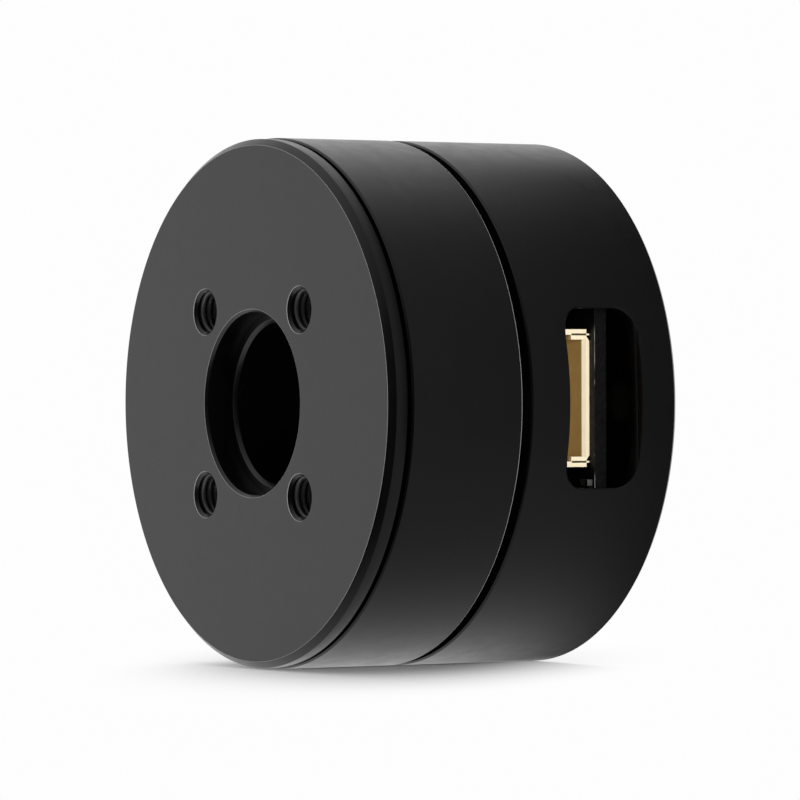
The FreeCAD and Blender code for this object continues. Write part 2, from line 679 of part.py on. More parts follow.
def make_connector_pins():
    """Straight in the cavity, bent down behind the connector and out to a foot on the board."""
    body = new_body("connector_pins")
    back = "ConnectorFace - ConnectorDepth"
    top = "BoardStart - ConnectorHeight / 2 - PinThickness / 2"
    sketch = new_sketch(body, "XY_Plane", first_pin())
    draw_outline(sketch, [
        (back + " + ConnectorFloor + PinReach", top),
        (back + " + ConnectorFloor + PinReach", top + " + PinThickness"),
        (back, top + " + PinThickness"),
        (back, "BoardStart"),
        (back + " - PinFoot", "BoardStart"),
        (back + " - PinFoot", "BoardStart - PinThickness"),
        (back + " - PinThickness", "BoardStart - PinThickness"),
        (back + " - PinThickness", top),
    ])
    pin = body.newObject("PartDesign::Pad", "pin")
    pin.Profile = sketch
    pin.setExpression("Length", formula("PinThickness"))
    repeat_along_z(body, pin, "PinCount", "(PinCount - 1) * PinPitch")


def make_connector_tabs():
    """Thin plates in the end walls that stand on the board."""
    body = new_body("connector_tabs")
    tab = pad_along_axis(body, lambda sketch: draw_rectangle(
        sketch, "ConnectorFace - TabLength", "ConnectorFace", *tab_sides()),
        "BoardStart - TabHeight", "BoardStart")
    repeat_along_z(body, tab, "2", "TabSpread")


def make_block(name, width, depth, centre_x, centre_z, height, behind=False):
    """A chip or a capacitor, on the front or the back face of the board."""
    body = new_body(name)
    back = "BoardStart + BoardThickness"
    start, end = (back, back + " + " + height) if behind else ("BoardStart - " + height, "BoardStart")
    block = pad_along_axis(body, lambda sketch: draw_rectangle(
        sketch, "%s - %s / 2" % (centre_x, width), "%s + %s / 2" % (centre_x, width),
        "%s - %s / 2" % (centre_z, depth), "%s + %s / 2" % (centre_z, depth)), start, end)
    return body, block


def make_chips():
    make_block("controller_chip", "ControllerSide", "ControllerSide", "0", "ChipCircle", "ControllerHeight")
    make_block("gate_driver_chip", "GateDriverSide", "GateDriverSide", "-GateDriverX", "-GateDriverZ",
               "ChipHeight")
    make_block("encoder_chip", "EncoderChipSide", "EncoderChipSide", "0", "-EncoderChipCircle", "ChipHeight")
    body, block = make_block("power_switches", "SwitchSide", "SwitchSide", "0", "SwitchCircle",
                             "SwitchHeight", True)
    repeat(body, [block], "SwitchCount")
    body, block = make_block("bus_capacitors", "CapacitorLength", "CapacitorWidth", "CapacitorCircle", "0",
                             "CapacitorHeight", True)
    repeat(body, [block], "CapacitorCount", "CapacitorSweep")
    turn_body(body, -number("FirstCapacitor"))
    make_block("edge_capacitor", "SmallCapacitorLength", "SmallCapacitorWidth", "EdgeCapacitorX",
               "WindowMiddle - EdgeCapacitorZ", "SmallCapacitorWidth")


# ---- screws ----------------------------------------------------------------------------------------

def make_cover_screws():
    """Four countersunk screws through base plate, post and board into the pillars."""
    body = new_body("cover_screws")
    neck = "BodyLength - (ScrewHeadRadius - ScrewRadius)"

    def draw_shank(sketch):
        draw_circle(sketch, "ScrewRadius", *on_diagonal("PillarCircle"))

    shank = pad_along_axis(body, draw_shank, "ScrewTip", neck)
    head = pad_along_axis(body, draw_shank, neck, "BodyLength")
    head.TaperAngle = 45
    repeat(body, [shank, head], "PillarCount")


for build in (make_output_cap, make_rotor_shell, make_hollow_shaft, make_retaining_ring, make_rear_housing,
              make_base_plate, make_cover_screws, make_phase_leads, make_driver_board, make_wire_connector,
              make_connector_pins, make_connector_tabs, make_chips):
    build()
make_magnets("magnets_north", 0)
make_magnets("magnets_south", 1)
turn_ring(new_body("flux_ring"), "MagnetOuter", "ShellBore", "CapPlateEnd", "FluxRingEnd")
turn_ring(new_body("encoder_magnet"), "ShaftRadius", "EncoderMagnetRadius", "EncoderMagnetStart",
          "EncoderMagnetEnd")
make_bearing("front", "FrontBearingStart")
make_bearing("rear", "RearBearingStart")
turn_ring(new_body("preload_washer"), "TubeShoulder", "BearingRadius", "RearBearingStart - WasherThickness",
          "RearBearingStart")
make_toothed_ring("stator_core", "CoreStart", "CoreEnd")
make_toothed_ring("front_insulator", "CoreStart - InsulatorThickness", "CoreStart")
make_toothed_ring("rear_insulator", "CoreEnd", "CoreEnd + InsulatorThickness")
for phase, first_tooth in (("u", 0), ("v", 2), ("w", 4)):
    make_phase("coils_phase_" + phase, first_tooth)

doc.recompute()
bodies = [item for item in doc.Objects if item.TypeId == "PartDesign::Body"]
cuts = ("PartDesign::Pocket", "PartDesign::Groove", "PartDesign::Hole")
for item in doc.Objects:
    if "Invalid" in item.State or "Error" in item.State:
        raise RuntimeError("%s: %s" % (item.Name, item.State))
    if item.TypeId in cuts and item.Shape.Volume > item.BaseFeature.Shape.Volume - 1e-6:
        raise RuntimeError("%s cuts nothing" % item.Name)
for body in bodies:
    if body.Shape.isNull() or not body.Shape.isValid():
        raise RuntimeError("%s has no valid shape" % body.Label)
os.makedirs("parts", exist_ok=True)
for body in bodies:
    body.Shape.exportStep("parts/%s.step" % body.Label)
    print("%-28s %2d solids %9.2f mm3" % (body.Label, len(body.Shape.Solids), body.Shape.Volume))
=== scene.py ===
"""Looks of the joint actuator: turned shells, drilled faces, threads, window, header and finishes.

Metres, in the frame's own axes: the output axis is Y, +Z is up, the window looks along +X, and stations
run along +Y from the output face.
"""
import json
import math

import bmesh
import bpy
from mathutils import Matrix, Vector


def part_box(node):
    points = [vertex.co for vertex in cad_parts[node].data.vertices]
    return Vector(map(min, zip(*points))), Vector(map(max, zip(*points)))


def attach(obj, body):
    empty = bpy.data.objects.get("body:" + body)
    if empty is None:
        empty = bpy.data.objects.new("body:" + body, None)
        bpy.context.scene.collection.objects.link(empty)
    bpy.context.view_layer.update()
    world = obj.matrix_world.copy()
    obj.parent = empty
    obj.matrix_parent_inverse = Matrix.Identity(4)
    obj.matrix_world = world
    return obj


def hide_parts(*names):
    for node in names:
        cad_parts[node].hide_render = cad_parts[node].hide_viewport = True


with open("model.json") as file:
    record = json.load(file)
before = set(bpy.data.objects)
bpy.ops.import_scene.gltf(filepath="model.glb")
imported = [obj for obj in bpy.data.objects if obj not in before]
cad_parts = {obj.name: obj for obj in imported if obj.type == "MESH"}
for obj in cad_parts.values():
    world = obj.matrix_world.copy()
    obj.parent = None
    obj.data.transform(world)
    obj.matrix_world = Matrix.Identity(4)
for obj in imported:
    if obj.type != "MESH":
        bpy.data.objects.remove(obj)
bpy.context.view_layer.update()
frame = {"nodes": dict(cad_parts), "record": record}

MM = 0.001
SEGMENTS = 360              # round the turned shells
SHAFT_SEGMENTS = 240        # round the hollow shaft
HOLE_SEGMENTS = 48          # round a drilled hole
EASE = 0.05 * MM            # broken edge of a turned corner
FINE_EASE = 0.03 * MM       # broken edge of the output face and of its holes
ARC_STEPS = 3               # faces of a broken edge
# painted highlight: narrow broken edges near given stations get a lighter grey
HIGHLIGHT_BAND_WIDTH = 0.045 * MM     # the faces of a broken edge are narrower than this
HIGHLIGHT_BAND_REACH = 0.12 * MM      # how near a painted highlight edge lies to the station named for it
SMOOTH_ANGLE = math.radians(32)     # shading runs on over edges up to this
ROUNDED_ANGLE = math.radians(30)    # edges sharper than this are rounded
PAST = 1.0 * MM             # how far a cutter reaches past what it cuts
MERGE = 1e-7                # points nearer than this are one
THINNEST = 1e-8             # faces thinner than this are dropped
ON_WALL = 1e-6              # a point this near a wall's radius lies on the wall
FLAT_SHARE = 0.9999         # a flat's normal runs along the axis by at least this
WALL_SHARE = 0.99           # a wall's normal runs out from the axis by at least this
FIRST_HOLE = 45             # direction of the first of four holes, in degrees


def turned_size(name):
    """Outside radius, first station and last station of a turned node."""
    low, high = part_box(name)
    return round(-low.x, 5), round(low.y, 5), round(high.y, 5)


BODY_RADIUS, _, BODY_LENGTH = turned_size("rear_housing")
CAP_RADIUS, CAP_START, CAP_BACK = turned_size("output_cap")
SHAFT_RADIUS, SHAFT_START, SHAFT_END = turned_size("hollow_shaft")
PLATE_RADIUS, POST_START, PLATE_END = turned_size("base_plate")
BOARD_RADIUS, BOARD_START, BOARD_END = turned_size("driver_board")
FLOOR_HEIGHT = -BODY_RADIUS

# stage and light
PAPER_WHITE = 0.985         # what the eye sees of floor and backdrop
SKY_LIGHT = 0.55            # plain level of light from all round
FLOOR_REACH = 1.2
FLOOR_GREY = 0.9
FLOOR_LIFT = 0.03           # added to the lit floor for the eye
SHADE_MIDDLE = (-10 * MM, 19 * MM, FLOOR_HEIGHT)
SHADE_TURN = math.radians(-40.5)
SHADE_HALVES = (33 * MM, 10 * MM, 1)        # the soft shade on the floor is a slanted oval
SHADE_FADE = (0.56, 2.03)   # where the shade begins and ends to fade, in shares of that oval

# painted reflection: greys by x that metal mirrors of the floor, and where they fade
FLOOR_GREYS = ((0, 1.0), (5 * MM, 0.9), (11 * MM, 0.58), (14 * MM, 0.46), (17 * MM, 0.37), (22 * MM, 0.31),
               (30 * MM, 0.285), (60 * MM, 0.28))
FLOOR_SLANT = 0.56          # the rear fade reads y less this share of x
FLOOR_REAR_FADE = (9 * MM, 26 * MM)
FLOOR_FRONT_FADE = (-14 * MM, 2 * MM)
FLOOR_LEFT_FADE = (-2 * MM, 6 * MM)

# the bent card, and what metal mirrors of it
CARD_RADIUS = 0.12
CARD_FRONT = -0.5
CARD_BACK = 0.4
CARD_GAP = 0.2 * MM         # from the floor to the card
CARD_END = math.radians(150)
CARD_STEPS = 48
CARD_GREYS = ((-60 * MM, 1.0), (-46 * MM, 0.96), (-14 * MM, 0.78), (8 * MM, 0.6), (35 * MM, 0.43),
              (76 * MM, 0.36), (120 * MM, 0.31))
CARD_REAR_FADE = (78 * MM, 94 * MM)
CARD_FRONT_FADE = (-60 * MM, 30 * MM)
CARD_TOP_FADE = (60 * MM, 115 * MM)
CARD_LEFT_FADE = (-90 * MM, -40 * MM)

# camera, with its lens in millimetres and its turn in degrees
CAMERA_PLACE = (350.12 * MM, -205.99 * MM, 0.959 * MM)
CAMERA_TURN = (89.8966, 0.1260, 58.0331)
CAMERA_LENS = 255.745
CAMERA_SENSOR = 36
CAMERA_CLIP = (0.01, 10)

# output cap
CAP_CHAMFER = 0.45 * MM
CAP_RIM_END = 1.35 * MM
CAP_PLATE_END = 2.8 * MM
SPIGOT_RADIUS = 17.6 * MM
HUB_RADIUS = 11.2 * MM
HUB_END = 4.0 * MM
HUB_LIP = 8.0 * MM
PILOT_RADIUS = 6.55 * MM
PILOT_CHAMFER = 0.2 * MM
OUTPUT_BOLT_CIRCLE = 9.35 * MM

# threads
THREAD_MOUTH = 1.68 * MM
THREAD_ROOT = 1.47 * MM
THREAD_CREST = 1.25 * MM
THREAD_PITCH = 0.5 * MM
THREAD_COUNT = 4
THREAD_LEAD_IN = 0.45 * MM  # from the mouth's face to the first ridge
THREAD_RUN_OUT = 0.3 * MM   # from the last ridge to the back face
THREAD_TURN_POINTS = 28
THREAD_SECTION_POINTS = 4

# rotor shell
SHELL_START = 1.7 * MM
SHELL_END = 10.8 * MM
SHELL_BORE = 18.1 * MM
SHELL_EDGE = 0.12 * MM

# hollow shaft
SHAFT_BORE = 5.8 * MM
SHAFT_CHAMFER = 0.25 * MM
GROOVE_RADIUS = 7.1 * MM
GROOVE_START = 15.0 * MM
GROOVE_END = 15.7 * MM

# rear housing
HOUSING_START = 11.5 * MM
HOUSING_BORE = PLATE_RADIUS
WEB_END = 13.1 * MM
TUBE_RADIUS = 11.5 * MM
TUBE_START = 4.4 * MM
TUBE_END = 15.2 * MM
BEARING_RADIUS = 10.5 * MM
SHOULDER_RADIUS = 9.6 * MM
SHOULDER_START = 8.4 * MM
SHOULDER_END = 10.7 * MM
REAR_CHAMFER = 0.3 * MM
PILLAR_CIRCLE = 15.2 * MM
PILLAR_RADIUS = 1.9 * MM
PILLAR_BORE = 1.0 * MM
PILLAR_COUNT = 4
SCREW_TIP = 14.6 * MM
LEAD_HOLE = 0.7 * MM
LEAD_RADIUS = 0.45 * MM
LEAD_CIRCLE = 13.9 * MM
LEAD_DIRECTIONS = (120, 180, 240)
WINDOW_START = 14.85 * MM
WINDOW_END = 20.7 * MM
WINDOW_HEIGHT = 12.66 * MM
WINDOW_MIDDLE = 0.34 * MM
WINDOW_CORNER = 1.5 * MM
WINDOW_LIP = 0.14 * MM
WINDOW_LIP_STEPS = 3
WINDOW_CORNER_STEPS = 10
WINDOW_CUT_START = 15.0 * MM

# base plate and its screws
PLATE_START = 21.45 * MM
PLATE_HOLE = 7.8 * MM
MOUNT_BOLT_CIRCLE = 12.0 * MM
SCREW_CLEARANCE = 1.15 * MM
SCREW_MOUTH = 1.95 * MM
SCREW_HEAD = 1.9 * MM
SCREW_SHANK = 1.0 * MM
SOCKET_RADIUS = 0.75 * MM
SOCKET_DEPTH = 0.8 * MM
SOCKET_SIDES = 6

# driver board, header, its tabs and pins, and the small capacitor beside it
BOARD_FLAT = 16.15 * MM
BOARD_HOLE = 8.1 * MM
HEADER_MOUTH = 15.5 * MM
HEADER_BACK = 11.7 * MM
HEADER_FRONT = BOARD_START - 4.2 * MM
HEADER_LENGTH = 9.75 * MM
HEADER_SHOULDER = 8.78 * MM
HEADER_FOOT = 8.1 * MM
HEADER_WALL = 0.5 * MM
HEADER_END_WALL = 0.73 * MM
HEADER_FLOOR = 0.8 * MM
HEADER_BEVEL = 0.24 * MM
HEADER_EASE = 0.06 * MM
BEVEL_OVERLAP = 0.01 * MM
KEY_SLOT_DEPTH = 0.34 * MM
KEY_SLOT_END = 1.55 * MM
PIN_COUNT = 5
PIN_PITCH = 1.25 * MM
PIN_THICKNESS = 0.4 * MM
PIN_TIP = 14.9 * MM
PIN_FOOT = 10.6 * MM
PIN_EASE = 0.04 * MM
PIN_OVERLAP = 0.1 * MM
TAB_COUNT = 2
TAB_LENGTH = 2.1 * MM
TAB_THICKNESS = 0.14 * MM
TAB_HEIGHT = 1.5 * MM
TAB_SPREAD = 9.02 * MM
TAB_EASE = 0.03 * MM
CAPACITOR_MIDDLE = 15.45 * MM
CAPACITOR_LEVEL = WINDOW_MIDDLE - 6.0 * MM
CAPACITOR_LENGTH = 1.0 * MM
CAPACITOR_WIDTH = 0.5 * MM
CAPACITOR_END = 0.24 * MM
CAPACITOR_WAIST = 0.02 * MM         # the ceramic lies this far inside its plated ends
CERAMIC_EASE = 0.02 * MM
PLATED_EASE = 0.05 * MM

# where a finish changes on its piece
GRAIN_MIDDLE = (0.3, 0.7)           # most of the grain's values lie between these
BOARD_HIGHLIGHT_DEPTH = (0.03 * MM, 0.07 * MM)         # painted highlight along the routed edge, down from the board's face
BOARD_HIGHLIGHT_WIDTH = (0.06 * MM, 0.02 * MM)         # and in from its straight edge
BOARD_HIGHLIGHT_BREAKS = (0.57, 0.68)          # grain at which that painted highlight begins and is whole
# where the painted shade in the header's hollow fades in
PAINTED_SHADE_BLEND = 0.12 * MM
# where the painted shade on the tabs in their slots fades out
SLOT_SHADE_BLEND = 0.05 * MM


# ---- meshes ----------------------------------------------------------------------------------------

def eased(corners, ease=EASE):
    """An outline of (radius, station) corners with every corner turned into a small arc."""
    points = []
    for index, corner in enumerate(corners):
        here = Vector(corner)
        back = (Vector(corners[index - 1]) - here).normalized()
        ahead = (Vector(corners[(index + 1) % len(corners)]) - here).normalized()
        half = back.angle(ahead) / 2
        middle = here + (back + ahead).normalized() * (ease / math.sin(half))
        outward = (-back - ahead).normalized()
        swing = math.copysign(math.pi / 2 - half, back.x * ahead.y - back.y * ahead.x)
        for step in range(ARC_STEPS + 1):
            turned = Matrix.Rotation(swing * (1 - 2 * step / ARC_STEPS), 2) @ outward
            points.append(tuple(middle + turned * ease))
    return points


def ring_points(centre, radius, segments=HOLE_SEGMENTS):
    """Points round a circle that faces along Y, as (x, z)."""
    angles = [2 * math.pi * step / segments for step in range(segments)]
    return [(centre[0] + radius * math.cos(angle), centre[1] + radius * math.sin(angle)) for angle in angles]


def bridge(mesh, ring, next_ring):
    """A band of faces between two rings that have the same number of points."""
    after = ring[1:] + ring[:1]
    next_after = next_ring[1:] + next_ring[:1]
    return [mesh.faces.new(corners) for corners in zip(ring, after, next_after, next_ring)]


def turn(mesh, outline, closed=True, drilled=(), centre=(0, 0), segments=SEGMENTS, highlit=()):
    """Turn an outline about an axis along Y. Flat rings at the drilled stations are left open.

    Broken edges near the given stations are marked for a painted highlight, a lighter grey.
    """
    painted_highlight = mesh.faces.layers.float.get("bare_edge") or mesh.faces.layers.float.new("bare_edge")
    rings = []
    for radius, station in outline:
        ring = [mesh.verts.new((x, station, z)) for x, z in ring_points(centre, radius, segments)]
        rings.append((station, ring))
    following = rings[1:] + rings[:1] if closed else rings[1:]
    for (station, ring), (next_station, next_ring) in zip(rings, following):
        if any(abs(station - level) < MERGE and abs(next_station - level) < MERGE for level in drilled):
            continue
        narrow = (ring[0].co - next_ring[0].co).length < HIGHLIGHT_BAND_WIDTH
        # narrow faces near the given stations carry a painted highlight
        highlit_band = narrow and any(abs(station - level) < HIGHLIGHT_BAND_REACH for level in highlit)
        for face in bridge(mesh, ring, next_ring):
            face[painted_highlight] = 1.0 if highlit_band else 0.0


def around(circle, count, first=0.0):
    """Centres of holes spread evenly on a circle, as (x, z)."""
    angles = [math.radians(first + 360 * index / count) for index in range(count)]
    return [(circle * math.cos(angle), circle * math.sin(angle)) for angle in angles]


def drill(mesh, centres, outline, highlit=()):
    """Walls of holes or studs, joined later to the flats at their ends."""
    for centre in centres:
        turn(mesh, outline, closed=False, centre=centre, segments=HOLE_SEGMENTS, highlit=highlit)


def fill_flats(mesh, stations):
    """Join what was turned and drilled, and close what is open between the rings at each station."""
    bmesh.ops.remove_doubles(mesh, verts=mesh.verts, dist=MERGE)
    for station in stations:
        rim = [edge for edge in mesh.edges if edge.is_boundary
               and all(abs(vert.co.y - station) < MERGE for vert in edge.verts)]
        bmesh.ops.triangle_fill(mesh, use_beauty=True, edges=rim)


def in_scene(name, data):
    """An object in the scene for the data given."""
    made = bpy.data.objects.new(name, data)
    bpy.context.scene.collection.objects.link(made)
    return made


def made_of(name, mesh):
    """An object from a bmesh, which uses it up."""
    data = bpy.data.meshes.new(name)
    mesh.to_mesh(data)
    mesh.free()
    return in_scene(name, data)


def solid(name, mesh):
    """An object from a closed bmesh, with its faces outwards."""
    bmesh.ops.recalc_face_normals(mesh, faces=mesh.faces)
    return made_of(name, mesh)


def finished(name, mesh):
    """An object from a bmesh, whose large faces keep their own normals."""
    bmesh.ops.remove_doubles(mesh, verts=mesh.verts, dist=MERGE)
    bmesh.ops.dissolve_degenerate(mesh, edges=mesh.edges, dist=THINNEST)
    return true_flats(smoothed(solid(name, mesh)))


def smoothed(piece):
    """Smooth shading up to an angle, weighed by area so that flats stay flat."""
    piece.data.shade_smooth()
    piece.data.set_sharp_from_angle(angle=SMOOTH_ANGLE)
    weighted = piece.modifiers.new("weighted normals", "WEIGHTED_NORMAL")
    weighted.mode = "FACE_AREA"
    weighted.weight = 100
    weighted.keep_sharp = True
    return plain(piece)


def plain(piece):
    """Apply a piece's modifiers and leave a plain mesh."""
    evaluated = piece.evaluated_get(bpy.context.evaluated_depsgraph_get())
    data = bpy.data.meshes.new_from_object(evaluated)
    old = piece.data
    piece.modifiers.clear()
    piece.data = data
    data.name = piece.name
    if isinstance(old, bpy.types.Mesh) and old.users == 0:
        bpy.data.meshes.remove(old)
    return piece


def prism(axis, outline, start, end):
    """A solid along X, Y or Z from an outline of (next, next but one) coordinates."""
    mesh = bmesh.new()
    shift = "XYZ".index(axis)
    ends = []
    for level in (start, end):
        places = [(level, first, second) for first, second in outline]
        ends.append([mesh.verts.new(place[-shift:] + place[:-shift]) for place in places])
    for ring in ends:
        mesh.faces.new(ring)
    bridge(mesh, *ends)
    return solid("prism", mesh)


def box(low, high):
    """A solid block between two corners."""
    return prism("X", [(low[1], low[2]), (high[1], low[2]), (high[1], high[2]), (low[1], high[2])],
                 low[0], high[0])


def carve(piece, *cutters):
    """Cut solids out of a piece, which uses them up."""
    for cutter in cutters:
        cut = piece.modifiers.new("cut", "BOOLEAN")
        cut.operation = "DIFFERENCE"
        cut.solver = "EXACT"
        cut.object = cutter
        plain(piece)
        bpy.data.objects.remove(cutter)
    return piece


def soften(piece, name, width, steps=2):
    """Round every edge a little and name the finished piece."""
    rounding = piece.modifiers.new("rounding", "BEVEL")
    rounding.width = width
    rounding.segments = steps
    rounding.limit_method = "ANGLE"
    rounding.angle_limit = ROUNDED_ANGLE
    rounding.use_clamp_overlap = True
    rounding.harden_normals = True
    piece.name = name
    return plain(piece)


def true_flats(piece):
    """Normals of the turned ends set along the axis, so that no long facet shows in them."""
    data = piece.data
    normals = [corner.vector.copy() for corner in data.corner_normals]
    for face in data.polygons:
        if abs(face.normal.y) > FLAT_SHARE:
            for index in face.loop_indices:
                normals[index] = face.normal.copy()
    data.normals_split_custom_set(normals)
    return piece


def true_barrel(piece, radius):
    """Normals of a turned wall set straight out from the axis, past any cut in it."""
    data = piece.data
    normals = [corner.vector.copy() for corner in data.corner_normals]
    for face in data.polygons:
        if face.normal.dot(Vector((face.center.x, 0, face.center.z)).normalized()) < WALL_SHARE:
            continue
        for index in face.loop_indices:
            point = data.vertices[data.loops[index].vertex_index].co
            outward = Vector((point.x, 0, point.z))
            if abs(outward.length - radius) < ON_WALL:
                normals[index] = outward.normalized()
    data.normals_split_custom_set(normals)
    return piece


# ---- turned shells ---------------------------------------------------------------------------------

def output_cap():
    """Face plate of the rotor: chamfered rim, locating bore and four threaded holes."""
    mesh = bmesh.new()
    turn(mesh, eased([
        (PILOT_RADIUS + PILOT_CHAMFER, CAP_START),
        (CAP_RADIUS - CAP_CHAMFER, CAP_START),
        (CAP_RADIUS, CAP_CHAMFER),
        (CAP_RADIUS, CAP_RIM_END),
        (SPIGOT_RADIUS, CAP_RIM_END),
        (SPIGOT_RADIUS, CAP_PLATE_END),
        (HUB_RADIUS, CAP_PLATE_END),
        (HUB_RADIUS, HUB_END),
        (HUB_LIP, HUB_END),
        (HUB_LIP, CAP_BACK),
        (SHAFT_RADIUS, CAP_BACK),
        (SHAFT_RADIUS, SHAFT_START),
        (PILOT_RADIUS, SHAFT_START),
        (PILOT_RADIUS, PILOT_CHAMFER),
    ], ease=FINE_EASE), drilled=(CAP_START, HUB_END), highlit=(CAP_START,))
    drill(mesh, around(OUTPUT_BOLT_CIRCLE, THREAD_COUNT, FIRST_HOLE), [
        (THREAD_MOUTH + FINE_EASE, CAP_START),
        (THREAD_MOUTH, FINE_EASE),
        (THREAD_ROOT, FINE_EASE + THREAD_MOUTH - THREAD_ROOT),
        (THREAD_ROOT, HUB_END),
    ], highlit=(CAP_START,))
    fill_flats(mesh, (CAP_START, HUB_END))
    return finished("face_plate", mesh)


def rotor_shell():
    """Outer shell of the rotor, open at the back, on the cap's spigot."""
    mesh = bmesh.new()
    turn(mesh, eased([
        (SPIGOT_RADIUS, SHELL_START),
        (BODY_RADIUS - SHELL_EDGE, SHELL_START),
        (BODY_RADIUS, SHELL_START + SHELL_EDGE),
        (BODY_RADIUS, SHELL_END - SHELL_EDGE),
        (BODY_RADIUS - SHELL_EDGE, SHELL_END),
        (SHELL_BORE, SHELL_END),
        (SHELL_BORE, CAP_PLATE_END),
        (SPIGOT_RADIUS, CAP_PLATE_END),
    ]), highlit=(SHELL_END - SHELL_EDGE,))
    return finished("spinning_shell", mesh)


def hollow_shaft():
    """Bored shaft with a groove for its retaining ring."""
    mesh = bmesh.new()
    turn(mesh, eased([
        (SHAFT_BORE + SHAFT_CHAMFER, SHAFT_START),
        (SHAFT_RADIUS, SHAFT_START),
        (SHAFT_RADIUS, GROOVE_START),
        (GROOVE_RADIUS, GROOVE_START),
        (GROOVE_RADIUS, GROOVE_END),
        (SHAFT_RADIUS, GROOVE_END),
        (SHAFT_RADIUS, SHAFT_END),
        (SHAFT_BORE + SHAFT_CHAMFER, SHAFT_END),
        (SHAFT_BORE, SHAFT_END - SHAFT_CHAMFER),
        (SHAFT_BORE, SHAFT_START + SHAFT_CHAMFER),
    ]), segments=SHAFT_SEGMENTS)
    return finished("bored_shaft", mesh)


def window_cutter():
    """A rounded slot that flares where it meets the wall, so the window gets a broken edge."""
    mesh = bmesh.new()
    middle = (WINDOW_START + WINDOW_END) / 2
    half_length = (WINDOW_END - WINDOW_START) / 2
    quarters = [math.pi / 2 * step / WINDOW_LIP_STEPS for step in range(WINDOW_LIP_STEPS + 1)]
    lip = [(WINDOW_LIP * (1 - math.cos(angle)), None, BODY_RADIUS - WINDOW_LIP * (1 - math.sin(angle)))
           for angle in quarters]
    # how much the slot has grown, with the x of a flat end or the radius of a wall that it follows
    levels = [(0, WINDOW_CUT_START, None), *lip, (lip[-1][0], BODY_RADIUS + PAST, None)]
    rings = []
    for grow, flat_end, radius in levels:
        reach = WINDOW_CORNER + grow
        ring = []
        for side_y, side_z, first in ((1, 1, 0), (-1, 1, 90), (-1, -1, 180), (1, -1, 270)):
            for step in range(WINDOW_CORNER_STEPS + 1):
                angle = math.radians(first + 90 * step / WINDOW_CORNER_STEPS)
                y = middle + side_y * (half_length - WINDOW_CORNER) + reach * math.cos(angle)
                z = WINDOW_MIDDLE + side_z * (WINDOW_HEIGHT / 2 - WINDOW_CORNER) + reach * math.sin(angle)
                ring.append(mesh.verts.new((flat_end or math.sqrt(radius ** 2 - z ** 2), y, z)))
        rings.append(ring)
    for ring, next_ring in zip(rings, rings[1:]):
        bridge(mesh, ring, next_ring)
    mesh.faces.new(rings[0])
    mesh.faces.new(rings[-1])
    return solid("window_cutter", mesh)


def rear_housing():
    """Wall, web and bearing tube in one turned piece, with pillars, lead holes and the window."""
    mesh = bmesh.new()
    turn(mesh, eased([
        (BEARING_RADIUS, TUBE_START),
        (TUBE_RADIUS, TUBE_START),
        (TUBE_RADIUS, HOUSING_START),
        (BODY_RADIUS - SHELL_EDGE, HOUSING_START),
        (BODY_RADIUS, HOUSING_START + SHELL_EDGE),
        (BODY_RADIUS, BODY_LENGTH - REAR_CHAMFER),
        (BODY_RADIUS - REAR_CHAMFER, BODY_LENGTH),
        (HOUSING_BORE, BODY_LENGTH),
        (HOUSING_BORE, WEB_END),
        (TUBE_RADIUS, WEB_END),
        (TUBE_RADIUS, TUBE_END),
        (BEARING_RADIUS, TUBE_END),
        (BEARING_RADIUS, SHOULDER_END),
        (SHOULDER_RADIUS, SHOULDER_END),
        (SHOULDER_RADIUS, SHOULDER_START),
        (BEARING_RADIUS, SHOULDER_START),
    ]), drilled=(HOUSING_START, WEB_END))
    drill(mesh, around(PILLAR_CIRCLE, PILLAR_COUNT, FIRST_HOLE), [
        (PILLAR_RADIUS, WEB_END),
        (PILLAR_RADIUS, BOARD_START),
        (PILLAR_BORE, BOARD_START),
        (PILLAR_BORE, SCREW_TIP),
        (0, SCREW_TIP),
    ])
    for direction in LEAD_DIRECTIONS:
        drill(mesh, around(LEAD_CIRCLE, 1, direction), [(LEAD_HOLE, HOUSING_START), (LEAD_HOLE, WEB_END)])
    fill_flats(mesh, (HOUSING_START, WEB_END))
    housing = finished("windowed_housing", mesh)
    return true_barrel(true_flats(smoothed(carve(housing, window_cutter()))), BODY_RADIUS)


def base_plate():
    """Rear closing plate: four posts with sunk screw holes and four threaded mounting holes."""
    mesh = bmesh.new()
    turn(mesh, eased([
        (PLATE_HOLE, PLATE_START),
        (PLATE_RADIUS, PLATE_START),
        (PLATE_RADIUS, PLATE_END),
        (PLATE_HOLE, PLATE_END),
    ]), drilled=(PLATE_START, PLATE_END))
    drill(mesh, around(PILLAR_CIRCLE, PILLAR_COUNT, FIRST_HOLE), [
        (PILLAR_RADIUS, PLATE_START),
        (PILLAR_RADIUS, POST_START),
        (SCREW_CLEARANCE, POST_START),
        (SCREW_CLEARANCE, PLATE_END - (SCREW_MOUTH - SCREW_CLEARANCE)),
        (SCREW_MOUTH, PLATE_END),
    ])
    drill(mesh, around(MOUNT_BOLT_CIRCLE, THREAD_COUNT), [
        (THREAD_ROOT, PLATE_START),
        (THREAD_ROOT, PLATE_END - (THREAD_MOUTH - THREAD_ROOT)),
        (THREAD_MOUTH, PLATE_END),
    ])
    fill_flats(mesh, (PLATE_START, PLATE_END))
    return finished("closing_plate", mesh)


# ---- driver board and header -----------------------------------------------------------------------

